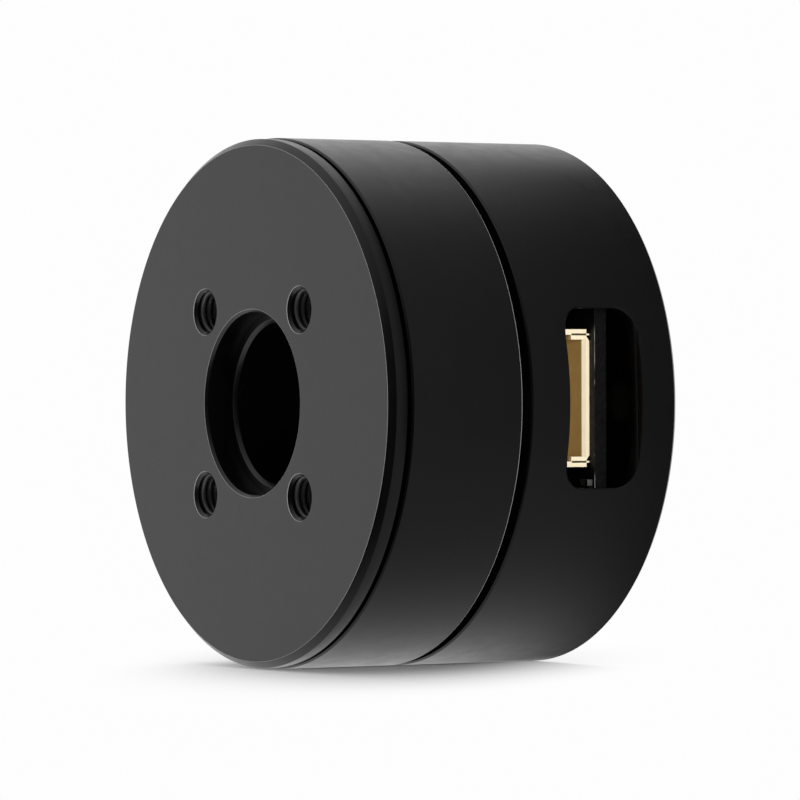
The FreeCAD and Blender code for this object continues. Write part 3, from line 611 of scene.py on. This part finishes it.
def driver_board():
    """Round laminate with a straight edge at the window and its drilled holes."""
    mesh = bmesh.new()
    corner = math.acos(BOARD_FLAT / BOARD_RADIUS)
    edge = [corner + (2 * math.pi - 2 * corner) * step / SEGMENTS for step in range(SEGMENTS + 1)]
    loops = [[(BOARD_RADIUS * math.cos(angle), BOARD_RADIUS * math.sin(angle)) for angle in edge]]
    loops.append(ring_points((0, 0), BOARD_HOLE, 4 * HOLE_SEGMENTS))
    loops += [ring_points(centre, SCREW_CLEARANCE)
              for centre in around(PILLAR_CIRCLE, PILLAR_COUNT, FIRST_HOLE)]
    loops += [ring_points(around(LEAD_CIRCLE, 1, way)[0], LEAD_RADIUS) for way in LEAD_DIRECTIONS]
    for loop in loops:
        verts = [mesh.verts.new((x, BOARD_START, z)) for x, z in loop]
        for first, second in zip(verts, verts[1:] + verts[:1]):
            mesh.edges.new((first, second))
    bmesh.ops.triangle_fill(mesh, use_beauty=True, edges=mesh.edges[:])
    risen = bmesh.ops.extrude_face_region(mesh, geom=mesh.faces[:], use_keep_orig=True)
    for vert in (item for item in risen["geom"] if isinstance(item, bmesh.types.BMVert)):
        vert.co.y = BOARD_END
    return finished("laminate_board", mesh)


def span(half):
    """Low and high end of a length about the middle of the window."""
    return WINDOW_MIDDLE - half, WINDOW_MIDDLE + half


def tab_middles():
    """Height of each tab's middle."""
    return span(TAB_SPREAD / 2)


def pin_middles():
    """Height of each pin's middle, from the lowest up."""
    return [WINDOW_MIDDLE + (index - (PIN_COUNT - 1) / 2) * PIN_PITCH for index in range(PIN_COUNT)]


def tab_block(middle, mouth, foot):
    """A tab, or the slot for it, out to the mouth and back to the foot."""
    return box((HEADER_MOUTH - TAB_LENGTH, BOARD_START - TAB_HEIGHT, middle - TAB_THICKNESS / 2),
               (mouth, foot, middle + TAB_THICKNESS / 2))


def wire_header():
    """Moulded side-entry header: lifted ends, key slots, bevelled mouth, slots for tabs and pins."""
    lifted = BOARD_START - HEADER_BEVEL
    low_end, high_end = span(HEADER_LENGTH / 2)
    low_shoulder, high_shoulder = span(HEADER_SHOULDER / 2)
    low_foot, high_foot = span(HEADER_FOOT / 2)
    header = prism("X", [
        (HEADER_FRONT, low_end),
        (lifted, low_end),
        (lifted, low_shoulder),
        (BOARD_START, low_foot),
        (BOARD_START, high_foot),
        (lifted, high_shoulder),
        (lifted, high_end),
        (HEADER_FRONT, high_end),
    ], HEADER_BACK, HEADER_MOUTH)

    past = HEADER_MOUTH + PAST
    roof = HEADER_FRONT + HEADER_WALL
    floor = BOARD_START - HEADER_WALL
    key_end = BOARD_START - KEY_SLOT_END
    low_side, high_side = span(HEADER_LENGTH / 2 - HEADER_END_WALL)
    low_key, high_key = span(HEADER_LENGTH / 2 - HEADER_END_WALL + KEY_SLOT_DEPTH)
    cavity = prism("X", [
        (roof, low_key),
        (key_end, low_key),
        (key_end, low_side),
        (floor, low_side),
        (floor, high_side),
        (key_end, high_side),
        (key_end, high_key),
        (roof, high_key),
    ], HEADER_BACK + HEADER_FLOOR, past)
    bevel = prism("Z", [
        (HEADER_MOUTH - HEADER_BEVEL, floor - BEVEL_OVERLAP),
        (past, floor - BEVEL_OVERLAP),
        (past, floor + HEADER_BEVEL + PAST),
    ], low_side, high_side)

    tabs = [tab_block(middle, past, BOARD_END) for middle in tab_middles()]
    pin_line = (HEADER_FRONT + BOARD_START) / 2
    half = PIN_THICKNESS / 2
    pins = [box((HEADER_BACK - PAST, pin_line - half, middle - half),
                (HEADER_BACK + HEADER_FLOOR + PIN_OVERLAP, pin_line + half, middle + half))
            for middle in pin_middles()]
    carve(header, cavity, bevel, *tabs, *pins)
    return soften(header, "moulded_header", HEADER_EASE)


def contact_pin():
    """The lowest pin: straight in the header, bent down behind it and out to its foot."""
    top = (HEADER_FRONT + BOARD_START - PIN_THICKNESS) / 2
    taper = PIN_THICKNESS / 3
    back = HEADER_BACK - PIN_THICKNESS
    middle = pin_middles()[0]
    pin = prism("Z", [
        (PIN_TIP - taper, top),
        (PIN_TIP, top + taper),
        (PIN_TIP, top + PIN_THICKNESS - taper),
        (PIN_TIP - taper, top + PIN_THICKNESS),
        (HEADER_BACK, top + PIN_THICKNESS),
        (HEADER_BACK, BOARD_START),
        (PIN_FOOT, BOARD_START),
        (PIN_FOOT, BOARD_START - PIN_THICKNESS),
        (back, BOARD_START - PIN_THICKNESS),
        (back, top),
    ], middle - PIN_THICKNESS / 2, middle + PIN_THICKNESS / 2)
    return soften(pin, "contact_pin", PIN_EASE)


def solder_tab():
    """The lower tab, a thin plate that stands on the board."""
    return soften(tab_block(tab_middles()[0], HEADER_MOUTH, BOARD_START), "solder_tab", TAB_EASE)


def small_capacitor(ends):
    """The ceramic body of the capacitor at the board's edge, or its two plated ends."""
    waist = 0 if ends else CAPACITOR_WAIST
    half_length, half_width = CAPACITOR_LENGTH / 2, CAPACITOR_WIDTH / 2
    low = Vector((CAPACITOR_MIDDLE - half_length, BOARD_START - CAPACITOR_WIDTH + waist,
                  CAPACITOR_LEVEL - half_width + waist))
    high = Vector((CAPACITOR_MIDDLE + half_length, BOARD_START - waist, CAPACITOR_LEVEL + half_width - waist))
    inner_low, inner_high = low.x + CAPACITOR_END, high.x - CAPACITOR_END
    if not ends:
        ceramic = box((inner_low, low.y, low.z), (inner_high, high.y, high.z))
        return soften(ceramic, "ceramic_body", CERAMIC_EASE)
    plated = box(low, high)
    carve(plated, box((inner_low, low.y - PAST, low.z - PAST), (inner_high, high.y + PAST, high.z + PAST)))
    return soften(plated, "plated_ends", PLATED_EASE, steps=3)


# ---- nodes -----------------------------------------------------------------------------------------

def feed(tree, socket, value):
    """Link an input to another socket, or fill it with a value."""
    if isinstance(value, bpy.types.NodeSocket):
        tree.links.new(value, socket)
    else:
        socket.default_value = value


def node(tree, kind, settings=None, **given):
    """A node with its settings made and its inputs linked or filled, by name with _ for a space."""
    made = tree.nodes.new(kind)
    for label, value in (settings or {}).items():
        setattr(made, label, value)
    for label, value in given.items():
        feed(tree, made.inputs[label.replace("_", " ")], value)
    return made


def combine(tree, operation, first, second):
    """One step of arithmetic on two values."""
    made = node(tree, "ShaderNodeMath", {"operation": operation})
    feed(tree, made.inputs[0], first)
    feed(tree, made.inputs[1], second)
    return made.outputs[0]


# ---- what repeats ----------------------------------------------------------------------------------

def new_tree(name, **kinds):
    """A Geometry Nodes tree with the inputs named and a finish, with its sockets for them and its result."""
    tree = bpy.data.node_groups.new(name, "GeometryNodeTree")
    for label, kind in (kinds | {"Finish": "Material"}).items():
        tree.interface.new_socket(label.replace("_", " "), in_out="INPUT", socket_type="NodeSocket" + kind)
    tree.interface.new_socket("Geometry", in_out="OUTPUT", socket_type="NodeSocketGeometry")
    result = tree.nodes.new("NodeGroupOutput").inputs["Geometry"]
    return tree, tree.nodes.new("NodeGroupInput").outputs, result


def places_on_circle(tree, given):
    """Points round a circle that faces along Y."""
    ring = node(tree, "GeometryNodeMeshCircle", Vertices=given["Count"], Radius=given["Circle"])
    turned = node(tree, "ShaderNodeCombineXYZ", X=math.pi / 2, Y=given["First angle"])
    return node(tree, "GeometryNodeTransform", Geometry=ring.outputs["Mesh"],
                Rotation=turned.outputs["Vector"]).outputs["Geometry"]


def copies_at(tree, given, result, places, item):
    """Real copies of an item at the places, in the tree's finish, as its result."""
    copies = node(tree, "GeometryNodeInstanceOnPoints", Points=places, Instance=item)
    real = node(tree, "GeometryNodeRealizeInstances", Geometry=copies.outputs["Instances"])
    covered = node(tree, "GeometryNodeSetMaterial", Geometry=real.outputs["Geometry"],
                   Material=given["Finish"])
    tree.links.new(covered.outputs["Geometry"], result)


def on_circle_tree():
    """Copies of one item spread round a circle that faces along Y."""
    tree, given, result = new_tree("copies on a circle", Item="Object", Circle="Float", Count="Int",
                                   First_angle="Float")
    item = node(tree, "GeometryNodeObjectInfo", Object=given["Item"])
    copies_at(tree, given, result, places_on_circle(tree, given), item.outputs["Geometry"])
    return tree


def in_row_tree():
    """Copies of one item in an even row along Z."""
    tree, given, result = new_tree("copies in a row", Item="Object", Count="Int", Pitch="Float")
    step = node(tree, "ShaderNodeCombineXYZ", Z=given["Pitch"])
    row = node(tree, "GeometryNodeMeshLine", Count=given["Count"], Offset=step.outputs["Vector"])
    item = node(tree, "GeometryNodeObjectInfo", Object=given["Item"])
    copies_at(tree, given, result, row.outputs["Mesh"], item.outputs["Geometry"])
    return tree


def thread_tree():
    """Internal thread ridges in holes spread round a circle that faces along Y."""
    tree, given, result = new_tree("threads in a circle of holes", Crest="Float", Root="Float",
                                   Pitch="Float", Start="Float", End="Float", Circle="Float",
                                   Count="Int", First_angle="Float")
    length = combine(tree, "SUBTRACT", given["End"], given["Start"])
    helix = node(tree, "GeometryNodeCurveSpiral", Resolution=THREAD_TURN_POINTS, Height=length,
                 Rotations=combine(tree, "DIVIDE", length, given["Pitch"]),
                 Start_Radius=given["Root"], End_Radius=given["Root"])
    upright = node(tree, "GeometryNodeSetCurveNormal", {"mode": "Z_UP"}, Curve=helix.outputs["Curve"])
    section = node(tree, "GeometryNodeCurvePrimitiveCircle", Resolution=THREAD_SECTION_POINTS,
                   Radius=combine(tree, "SUBTRACT", given["Root"], given["Crest"]))
    swept = node(tree, "GeometryNodeCurveToMesh", Curve=upright.outputs["Curve"],
                 Profile_Curve=section.outputs["Curve"], Fill_Caps=True)
    start = node(tree, "ShaderNodeCombineXYZ", Y=given["Start"])
    along = node(tree, "GeometryNodeTransform", Geometry=swept.outputs["Mesh"],
                 Translation=start.outputs["Vector"], Rotation=(-math.pi / 2, 0, 0))
    copies_at(tree, given, result, places_on_circle(tree, given), along.outputs["Geometry"])
    return tree


def grown(name, tree, **given):
    """A plain mesh from a Geometry Nodes tree with the values given, by name with _ for a space."""
    piece = in_scene(name, bpy.data.meshes.new(name))
    modifier = piece.modifiers.new(name, "NODES")
    modifier.node_group = tree
    identifiers = {item.name: item.identifier for item in tree.interface.items_tree if item.in_out == "INPUT"}
    for label, value in given.items():
        modifier[identifiers[label.replace("_", " ")]] = value
    return plain(piece)


def screw():
    """One countersunk screw with a hexagon socket, on the Y axis."""
    mesh = bmesh.new()
    neck = BODY_LENGTH - (SCREW_HEAD - SCREW_SHANK)
    turn(mesh, [
        (0, SCREW_TIP),
        (SCREW_SHANK - 2 * EASE, SCREW_TIP),
        (SCREW_SHANK, SCREW_TIP + 2 * EASE),
        (SCREW_SHANK, neck),
        (SCREW_HEAD - EASE, BODY_LENGTH - EASE),
        (SCREW_HEAD - 2 * EASE, BODY_LENGTH),
    ], closed=False, segments=HOLE_SEGMENTS)
    turn(mesh, [
        (SOCKET_RADIUS + EASE, BODY_LENGTH),
        (SOCKET_RADIUS, BODY_LENGTH - EASE),
        (SOCKET_RADIUS, BODY_LENGTH - SOCKET_DEPTH),
        (0, BODY_LENGTH - SOCKET_DEPTH - SOCKET_RADIUS / 3),
    ], closed=False, segments=SOCKET_SIDES)
    fill_flats(mesh, (BODY_LENGTH,))
    return finished("cover_screw", mesh)


# ---- finishes --------------------------------------------------------------------------------------

def new_finish(name):
    """A material, its tree, its shader and the place on the object that patterns read."""
    material = bpy.data.materials.new(name)
    material.use_nodes = True
    tree = material.node_tree
    place = tree.nodes.new("ShaderNodeTexCoord").outputs["Object"]
    return material, tree, tree.nodes["Principled BSDF"], place


def part_of(tree, place, axis):
    """One coordinate of a place on the object."""
    return node(tree, "ShaderNodeSeparateXYZ", Vector=place).outputs[axis]


def grain(tree, place, size, detail=3.0, stretch=(1, 1, 1)):
    """Noise whose features have a given size in metres."""
    spread = node(tree, "ShaderNodeMapping", Vector=place, Scale=stretch)
    return node(tree, "ShaderNodeTexNoise", Vector=spread.outputs["Vector"], Scale=1 / size,
                Detail=detail).outputs["Fac"]


def fade(tree, value, low, high, at_low, at_high):
    """A soft change between two levels as a value goes from low to high."""
    return node(tree, "ShaderNodeMapRange", {"interpolation_type": "SMOOTHSTEP"}, Value=value, From_Min=low,
                From_Max=high, To_Min=at_low, To_Max=at_high).outputs["Result"]


def uneven(tree, place, size, low, high):
    """A value that wanders between two levels in patches of a given size."""
    return node(tree, "ShaderNodeMapRange", Value=grain(tree, place, size), From_Min=GRAIN_MIDDLE[0],
                From_Max=GRAIN_MIDDLE[1], To_Min=low, To_Max=high).outputs["Result"]


def ramp(tree, share, steps):
    """Colours along a share from 0 to 1, given as (share, colour) pairs."""
    made = node(tree, "ShaderNodeValToRGB", Fac=share)
    stops = made.color_ramp.elements
    while len(stops) < len(steps):
        stops.new(0.5)
    for stop, (level, colour) in zip(stops, steps):
        stop.position = level
        stop.color = (*colour, 1)
    return made.outputs["Color"]


def shades(tree, value, dark, light):
    """A colour that wanders from dark to light with the grain."""
    return ramp(tree, value, ((0.25, dark), (0.75, light)))


def blend(tree, share, first, second):
    """One colour passing into another as the share goes from 0 to 1."""
    mix = node(tree, "ShaderNodeMix", {"data_type": "RGBA"}, Factor=share)
    for socket, colour in ((mix.inputs[6], first), (mix.inputs[7], second)):
        feed(tree, socket, colour if isinstance(colour, bpy.types.NodeSocket) else (*colour, 1))
    return mix.outputs[2]


def dress(tree, shader, colour, rough, height, depth):
    """Give a shader its colour, its roughness and a relief of the depth named."""
    bump = node(tree, "ShaderNodeBump", Strength=1.0, Distance=depth, Height=height)
    tree.links.new(colour, shader.inputs["Base Color"])
    tree.links.new(rough, shader.inputs["Roughness"])
    tree.links.new(bump.outputs["Normal"], shader.inputs["Normal"])


def coated_metal(name, dark, light, rough, blast, specular=0.5, painted_highlight=(0.02, 0.02, 0.02)):
    """An even matt coat over fine blasting, with a painted highlight in a lighter grey on the marked broken
    edges.
    """
    material, tree, shader, place = new_finish(name)
    # painted highlight on the marked broken edges
    edge = node(tree, "ShaderNodeAttribute", {"attribute_name": "bare_edge"}).outputs["Fac"]
    coat = shades(tree, grain(tree, place, 6 * MM), dark, light)
    dress(tree, shader, blend(tree, edge, coat, painted_highlight), uneven(tree, place, 1.2 * MM, *rough),
          grain(tree, place, 0.06 * MM, 2.0), blast)
    shader.inputs["Specular IOR Level"].default_value = specular
    return material


def bright_metal(name, dark, light, rough):
    """Bare or plated metal with fine lines round its axis."""
    material, tree, shader, place = new_finish(name)
    lines = grain(tree, place, 0.5 * MM, 4.0, (0.1, 8, 0.1))
    dress(tree, shader, shades(tree, grain(tree, place, 2 * MM), dark, light),
          uneven(tree, place, 0.4 * MM, *rough), lines, 0.0006 * MM)
    shader.inputs["Metallic"].default_value = 1.0
    return material


def moulded(name, dark, light, rough, specular=0.5):
    """Moulded or pressed plastic and ceramic with a faint orange-peel skin."""
    material, tree, shader, place = new_finish(name)
    dress(tree, shader, shades(tree, grain(tree, place, 1.5 * MM), dark, light),
          uneven(tree, place, 0.3 * MM, *rough), grain(tree, place, 0.12 * MM), 0.002 * MM)
    shader.inputs["Specular IOR Level"].default_value = specular
    return material


def routed_laminate():
    """Black solder mask, with a broken pale painted highlight along the arris of the routed edge."""
    material, tree, shader, place = new_finish("board_laminate")
    down = fade(tree, part_of(tree, place, "Y"), *(BOARD_START + depth for depth in BOARD_HIGHLIGHT_DEPTH), 1, 0)
    across = fade(tree, part_of(tree, place, "X"), *(BOARD_FLAT - width for width in BOARD_HIGHLIGHT_WIDTH), 0, 1)
    whole = fade(tree, grain(tree, place, 0.7 * MM, 3.0, (1, 1, 0.4)), *BOARD_HIGHLIGHT_BREAKS, 0.02, 1)
    # painted highlight along the board's routed edge, broken by grain
    board_highlight = combine(tree, "MULTIPLY", combine(tree, "MULTIPLY", down, across), whole)
    mask = shades(tree, grain(tree, place, 0.25 * MM, 4.0), (0.001, 0.001, 0.001), (0.006, 0.006, 0.006))
    dress(tree, shader, blend(tree, board_highlight, mask, (0.16, 0.155, 0.14)),
          uneven(tree, place, 0.3 * MM, 0.45, 0.65), grain(tree, place, 0.08 * MM, 4.0), 0.006 * MM)
    shader.inputs["Specular IOR Level"].default_value = 0.2
    return material


def header_nylon():
    """Cream nylon whose hollow, back from the mouth's bevel, is painted brown as shade."""
    material, tree, shader, place = new_finish("cream_nylon")
    mouth = HEADER_MOUTH - HEADER_BEVEL
    # painted shade: the hollow back from the mouth is brown
    in_painted_shade = fade(tree, part_of(tree, place, "X"), mouth - PAINTED_SHADE_BLEND, mouth, 1, 0)
    tone = grain(tree, place, 1.5 * MM)
    pale = shades(tree, tone, (0.80, 0.69, 0.47), (0.85, 0.75, 0.54))
    painted_shade_brown = shades(tree, tone, (0.48, 0.33, 0.12), (0.57, 0.4, 0.155))
    dress(tree, shader, blend(tree, in_painted_shade, pale, painted_shade_brown), uneven(tree, place, 0.3 * MM, 0.34, 0.46),
          grain(tree, place, 0.12 * MM), 0.002 * MM)
    return material


def soldered_metal():
    """The header's tabs: painted shade, dark brown, where they sit in their slots; pale solder where they
    stand out of them.
    """
    material, tree, shader, place = new_finish("soldered_tabs")
    lifted = BOARD_START - HEADER_BEVEL
    # painted shade: dark brown where the tabs sit in their slots
    free = fade(tree, part_of(tree, place, "Y"), lifted - SLOT_SHADE_BLEND, lifted, 0, 1)
    dress(tree, shader, blend(tree, free, (0.06, 0.045, 0.02), (0.82, 0.75, 0.6)),
          uneven(tree, place, 0.2 * MM, 0.3, 0.45), grain(tree, place, 0.15 * MM), 0.004 * MM)
    return material


def make_finishes():
    """Finishes by slot, with two more for pieces that look unlike the rest of their slot."""
    made = {
        # the anodised coat's marked broken edges get a painted highlight grey
        "black_anodised_aluminium": coated_metal("black_anodised_aluminium", (0.0008, 0.0008, 0.0009),
                                                 (0.0014, 0.0014, 0.0015), (0.27, 0.33), 0.0018 * MM,
                                                 specular=0.43, painted_highlight=(0.3, 0.3, 0.31)),
        # threads lighter than the coat, standing in for glints on their ridges
        "cut_threads": coated_metal("cut_threads", (0.02, 0.02, 0.021), (0.05, 0.05, 0.051), (0.24, 0.34),
                                    0.001 * MM, specular=0.6),
        "black_steel": coated_metal("black_steel", (0.012, 0.011, 0.011), (0.02, 0.019, 0.018), (0.28, 0.4),
                                    0.0008 * MM),
        "soldered_tabs": soldered_metal(),
        "board_laminate": routed_laminate(),
        "cream_nylon": header_nylon(),
        "ceramic": moulded("ceramic", (0.02, 0.016, 0.013), (0.034, 0.027, 0.021), (0.4, 0.55), specular=0.3),
    }
    for name, dark, light, rough in (
            ("flux_steel", (0.16, 0.16, 0.165), (0.24, 0.24, 0.245), (0.35, 0.5)),
            ("nickel_plate", (0.52, 0.51, 0.48), (0.64, 0.63, 0.6), (0.2, 0.32)),
            ("spring_steel", (0.2, 0.2, 0.21), (0.3, 0.3, 0.31), (0.3, 0.42)),
            ("bearing_steel", (0.5, 0.5, 0.51), (0.62, 0.62, 0.63), (0.12, 0.2)),
            ("lamination_steel", (0.22, 0.22, 0.225), (0.33, 0.33, 0.335), (0.4, 0.55)),
            ("enamelled_copper", (0.42, 0.13, 0.05), (0.6, 0.22, 0.08), (0.25, 0.38)),
            ("tinned_copper", (0.5, 0.5, 0.5), (0.66, 0.66, 0.65), (0.25, 0.4)),
            ("plated_contact", (0.55, 0.4, 0.14), (0.75, 0.57, 0.24), (0.2, 0.35))):
        made[name] = bright_metal(name, dark, light, rough)
    for name, dark, light, rough in (
            ("cage_nylon", (0.5, 0.47, 0.38), (0.6, 0.57, 0.47), (0.4, 0.5)),
            ("insulator_film", (0.55, 0.5, 0.34), (0.66, 0.6, 0.42), (0.4, 0.55)),
            ("chip_epoxy", (0.012, 0.012, 0.013), (0.022, 0.022, 0.023), (0.5, 0.65))):
        made[name] = moulded(name, dark, light, rough)
    return made


def cover(piece, finish):
    """Give a piece one finish all over."""
    piece.data.materials.clear()
    piece.data.materials.append(finish)


# ---- stage, light and camera -----------------------------------------------------------------------

def sheet(name, corners):
    """A flat or folded sheet from rows of two corners each."""
    mesh = bmesh.new()
    rows = [[mesh.verts.new(corner) for corner in row] for row in corners]
    for row, following in zip(rows, rows[1:]):
        mesh.faces.new((row[0], row[1], following[1], following[0]))
    made = made_of(name, mesh)
    return made


def grey_steps(tree, value, steps):
    """Greys along a value, given as (value, grey) pairs from the lowest value up."""
    low, high = steps[0][0], steps[-1][0]
    share = node(tree, "ShaderNodeMapRange", Value=value, From_Min=low, From_Max=high).outputs["Result"]
    return ramp(tree, share, [((level - low) / (high - low), (grey, grey, grey)) for level, grey in steps])


def mixed(tree, share, first, second):
    """One shader passing into another as the share goes from 0 to 1."""
    mix = node(tree, "ShaderNodeMixShader", Fac=share)
    tree.links.new(first, mix.inputs[1])
    tree.links.new(second, mix.inputs[2])
    return mix.outputs["Shader"]


def white_floor():
    """Pale floor that keeps the body's shadow, plain white further out, and painted greys in reflections."""
    floor = sheet("floor", [[(x, y, FLOOR_HEIGHT) for x in (-FLOOR_REACH, FLOOR_REACH)]
                            for y in (-FLOOR_REACH, FLOOR_REACH)])
    material, tree, shader, place = new_finish("pale_floor")
    shader.inputs["Roughness"].default_value = 0.9
    shader.inputs["Specular IOR Level"].default_value = 0.0
    shader.inputs["Base Color"].default_value = (FLOOR_GREY, FLOOR_GREY, FLOOR_GREY, 1)
    shader.inputs["Emission Color"].default_value = (1, 1, 1, 1)
    path = tree.nodes.new("ShaderNodeLightPath").outputs
    tree.links.new(combine(tree, "MULTIPLY", path["Is Camera Ray"], FLOOR_LIFT),
                   shader.inputs["Emission Strength"])

    shade = node(tree, "ShaderNodeMapping", {"vector_type": "TEXTURE"}, Vector=place,
                 Location=SHADE_MIDDLE, Rotation=(0, 0, SHADE_TURN), Scale=SHADE_HALVES)
    middle = node(tree, "ShaderNodeVectorMath", {"operation": "LENGTH"})
    tree.links.new(shade.outputs["Vector"], middle.inputs[0])
    plain_white = node(tree, "ShaderNodeEmission", Strength=PAPER_WHITE)
    seen = mixed(tree, fade(tree, middle.outputs["Value"], *SHADE_FADE, 0.0, 1.0), shader.outputs["BSDF"],
                 plain_white.outputs["Emission"])

    # painted reflection: in reflections the floor glows with greys by x, faded to the back, front and left
    x, y = part_of(tree, place, "X"), part_of(tree, place, "Y")
    slant = combine(tree, "SUBTRACT", y, combine(tree, "MULTIPLY", x, FLOOR_SLANT))
    behind = fade(tree, slant, *FLOOR_REAR_FADE, 1.0, 0.06)
    before = fade(tree, y, *FLOOR_FRONT_FADE, 0.0, 1.0)
    left = fade(tree, x, *FLOOR_LEFT_FADE, 1.0, 0.0)
    level = combine(tree, "MAXIMUM", combine(tree, "MULTIPLY", behind, before), left)
    mirrored = node(tree, "ShaderNodeEmission", Color=grey_steps(tree, x, FLOOR_GREYS), Strength=level)
    in_mirrors = combine(tree, "MAXIMUM", path["Is Glossy Ray"], path["Is Transmission Ray"])
    tree.links.new(mixed(tree, in_mirrors, seen, mirrored.outputs["Emission"]),
                   tree.nodes["Material Output"].inputs["Surface"])
    cover(floor, material)


def curved_card():
    """Card bent round the right-hand side and over the top, seen only as a soft dark reflection."""
    low = math.asin((FLOOR_HEIGHT + CARD_GAP) / CARD_RADIUS)
    rows = []
    for step in range(CARD_STEPS + 1):
        angle = low + (CARD_END - low) * step / CARD_STEPS
        x, z = CARD_RADIUS * math.cos(angle), CARD_RADIUS * math.sin(angle)
        rows.append([(x, CARD_FRONT, z), (x, CARD_BACK, z)])
    card = sheet("curved_card", rows)
    material, tree, shader, place = new_finish("graded_card")
    x, y, z = (part_of(tree, place, axis) for axis in "XYZ")
    behind = fade(tree, y, *CARD_REAR_FADE, 1.0, 0.04)
    before = combine(tree, "MAXIMUM", fade(tree, y, *CARD_FRONT_FADE, 0.0, 1.0),
                     fade(tree, z, *CARD_TOP_FADE, 0.0, 0.9))
    right = combine(tree, "MULTIPLY", behind, before)
    level = combine(tree, "MAXIMUM", right, fade(tree, x, *CARD_LEFT_FADE, 0.9, 0.0))
    glow = node(tree, "ShaderNodeEmission", Color=grey_steps(tree, x, CARD_GREYS), Strength=level)
    tree.links.new(glow.outputs["Emission"], tree.nodes["Material Output"].inputs["Surface"])
    tree.nodes.remove(shader)
    cover(card, material)
    card.visible_camera = False
    card.visible_diffuse = False
    card.visible_shadow = False
    card.visible_transmission = False


def soft_lamp(name, place, size, power):
    """A square soft lamp that faces the middle of the body."""
    data = bpy.data.lights.new(name, "AREA")
    data.size = size
    data.energy = power
    lamp = in_scene(name, data)
    lamp.location = place
    lamp.visible_glossy = False
    towards = Vector((0, BODY_LENGTH / 2, 0)) - lamp.location
    lamp.rotation_euler = towards.to_track_quat("-Z", "Y").to_euler()


def surroundings():
    """White to the eye and in reflections, a plain soft level for light."""
    world = bpy.data.worlds.new("studio")
    world.use_nodes = True
    tree = world.node_tree
    path = tree.nodes.new("ShaderNodeLightPath").outputs
    seen = combine(tree, "MAXIMUM", path["Is Camera Ray"], path["Is Glossy Ray"])
    shown = combine(tree, "MAXIMUM", seen, path["Is Transmission Ray"])
    level = node(tree, "ShaderNodeMapRange", Value=shown, To_Min=SKY_LIGHT, To_Max=PAPER_WHITE)
    background = tree.nodes["Background"]
    background.inputs["Color"].default_value = (1, 1, 1, 1)
    tree.links.new(level.outputs["Result"], background.inputs["Strength"])
    bpy.context.scene.world = world


def camera():
    """A long lens at the height of the output axis, on the side of the output face and the window."""
    data = bpy.data.cameras.new("camera")
    data.lens = CAMERA_LENS
    data.sensor_width = CAMERA_SENSOR
    data.clip_start, data.clip_end = CAMERA_CLIP
    view = in_scene("camera", data)
    view.location = CAMERA_PLACE
    view.rotation_euler = [math.radians(angle) for angle in CAMERA_TURN]
    bpy.context.scene.camera = view


# ---- putting it together ---------------------------------------------------------------------------

finishes = make_finishes()
slots = {part["node"]: part["material_slot"] for part in frame["record"]["subparts"]}


def fit(piece, body, slot, *nodes, look=None):
    """Cover a piece, let it ride on its body and stand for the nodes named."""
    cover(piece, finishes[look or slot])
    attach(piece, body)
    if nodes:
        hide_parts(*nodes)


fit(output_cap(), "rotor", "black_anodised_aluminium", "output_cap")
fit(rotor_shell(), "rotor", "black_anodised_aluminium", "rotor_shell")
fit(hollow_shaft(), "rotor", "black_anodised_aluminium", "hollow_shaft")
fit(rear_housing(), "housing", "black_anodised_aluminium", "rear_housing")
fit(base_plate(), "housing", "black_anodised_aluminium", "base_plate")

# the threads take the finish lightened for painted glints
threads = thread_tree()
ridge = dict(Crest=THREAD_CREST, Root=THREAD_ROOT, Pitch=THREAD_PITCH, Count=THREAD_COUNT,
             Finish=finishes["cut_threads"])
fit(grown("output_threads", threads, Start=CAP_START + THREAD_LEAD_IN, End=HUB_END - THREAD_RUN_OUT,
          Circle=OUTPUT_BOLT_CIRCLE, First_angle=math.radians(FIRST_HOLE), **ridge),
    "rotor", "black_anodised_aluminium", look="cut_threads")
fit(grown("mount_threads", threads, Start=PLATE_START + THREAD_RUN_OUT, End=PLATE_END - THREAD_LEAD_IN,
          Circle=MOUNT_BOLT_CIRCLE, First_angle=0.0, **ridge),
    "housing", "black_anodised_aluminium", look="cut_threads")

one_screw = screw()
fit(grown("plate_screws", on_circle_tree(), Item=one_screw, Circle=PILLAR_CIRCLE, Count=PILLAR_COUNT,
          First_angle=math.radians(FIRST_HOLE), Finish=finishes["black_steel"]),
    "housing", "black_steel", "cover_screws")
bpy.data.objects.remove(one_screw)

fit(driver_board(), "housing", "board_laminate", "driver_board")
fit(wire_header(), "housing", "cream_nylon", "wire_connector")
row = in_row_tree()
for item, count, pitch, name, node_name, look in (
        (contact_pin(), PIN_COUNT, PIN_PITCH, "header_pins", "connector_pins", "plated_contact"),
        (solder_tab(), TAB_COUNT, TAB_SPREAD, "header_tabs", "connector_tabs", "soldered_tabs")):
    fit(grown(name, row, Item=item, Count=count, Pitch=pitch, Finish=finishes[look]),
        "housing", "plated_contact", node_name, look=look)
    bpy.data.objects.remove(item)
fit(small_capacitor(False), "housing", "ceramic", "edge_capacitor")
fit(small_capacitor(True), "housing", "tinned_copper")

for node_name, part in frame["nodes"].items():
    cover(part, finishes[slots[node_name]])

surroundings()
white_floor()
curved_card()
soft_lamp("left_lamp", place=(-0.33, 0.13, 0.48), size=0.3, power=2.3)
soft_lamp("window_lamp", place=(0.42, -0.03, 0.03), size=0.12, power=1.5)
camera()
bpy.context.scene.view_settings.view_transform = "Standard"
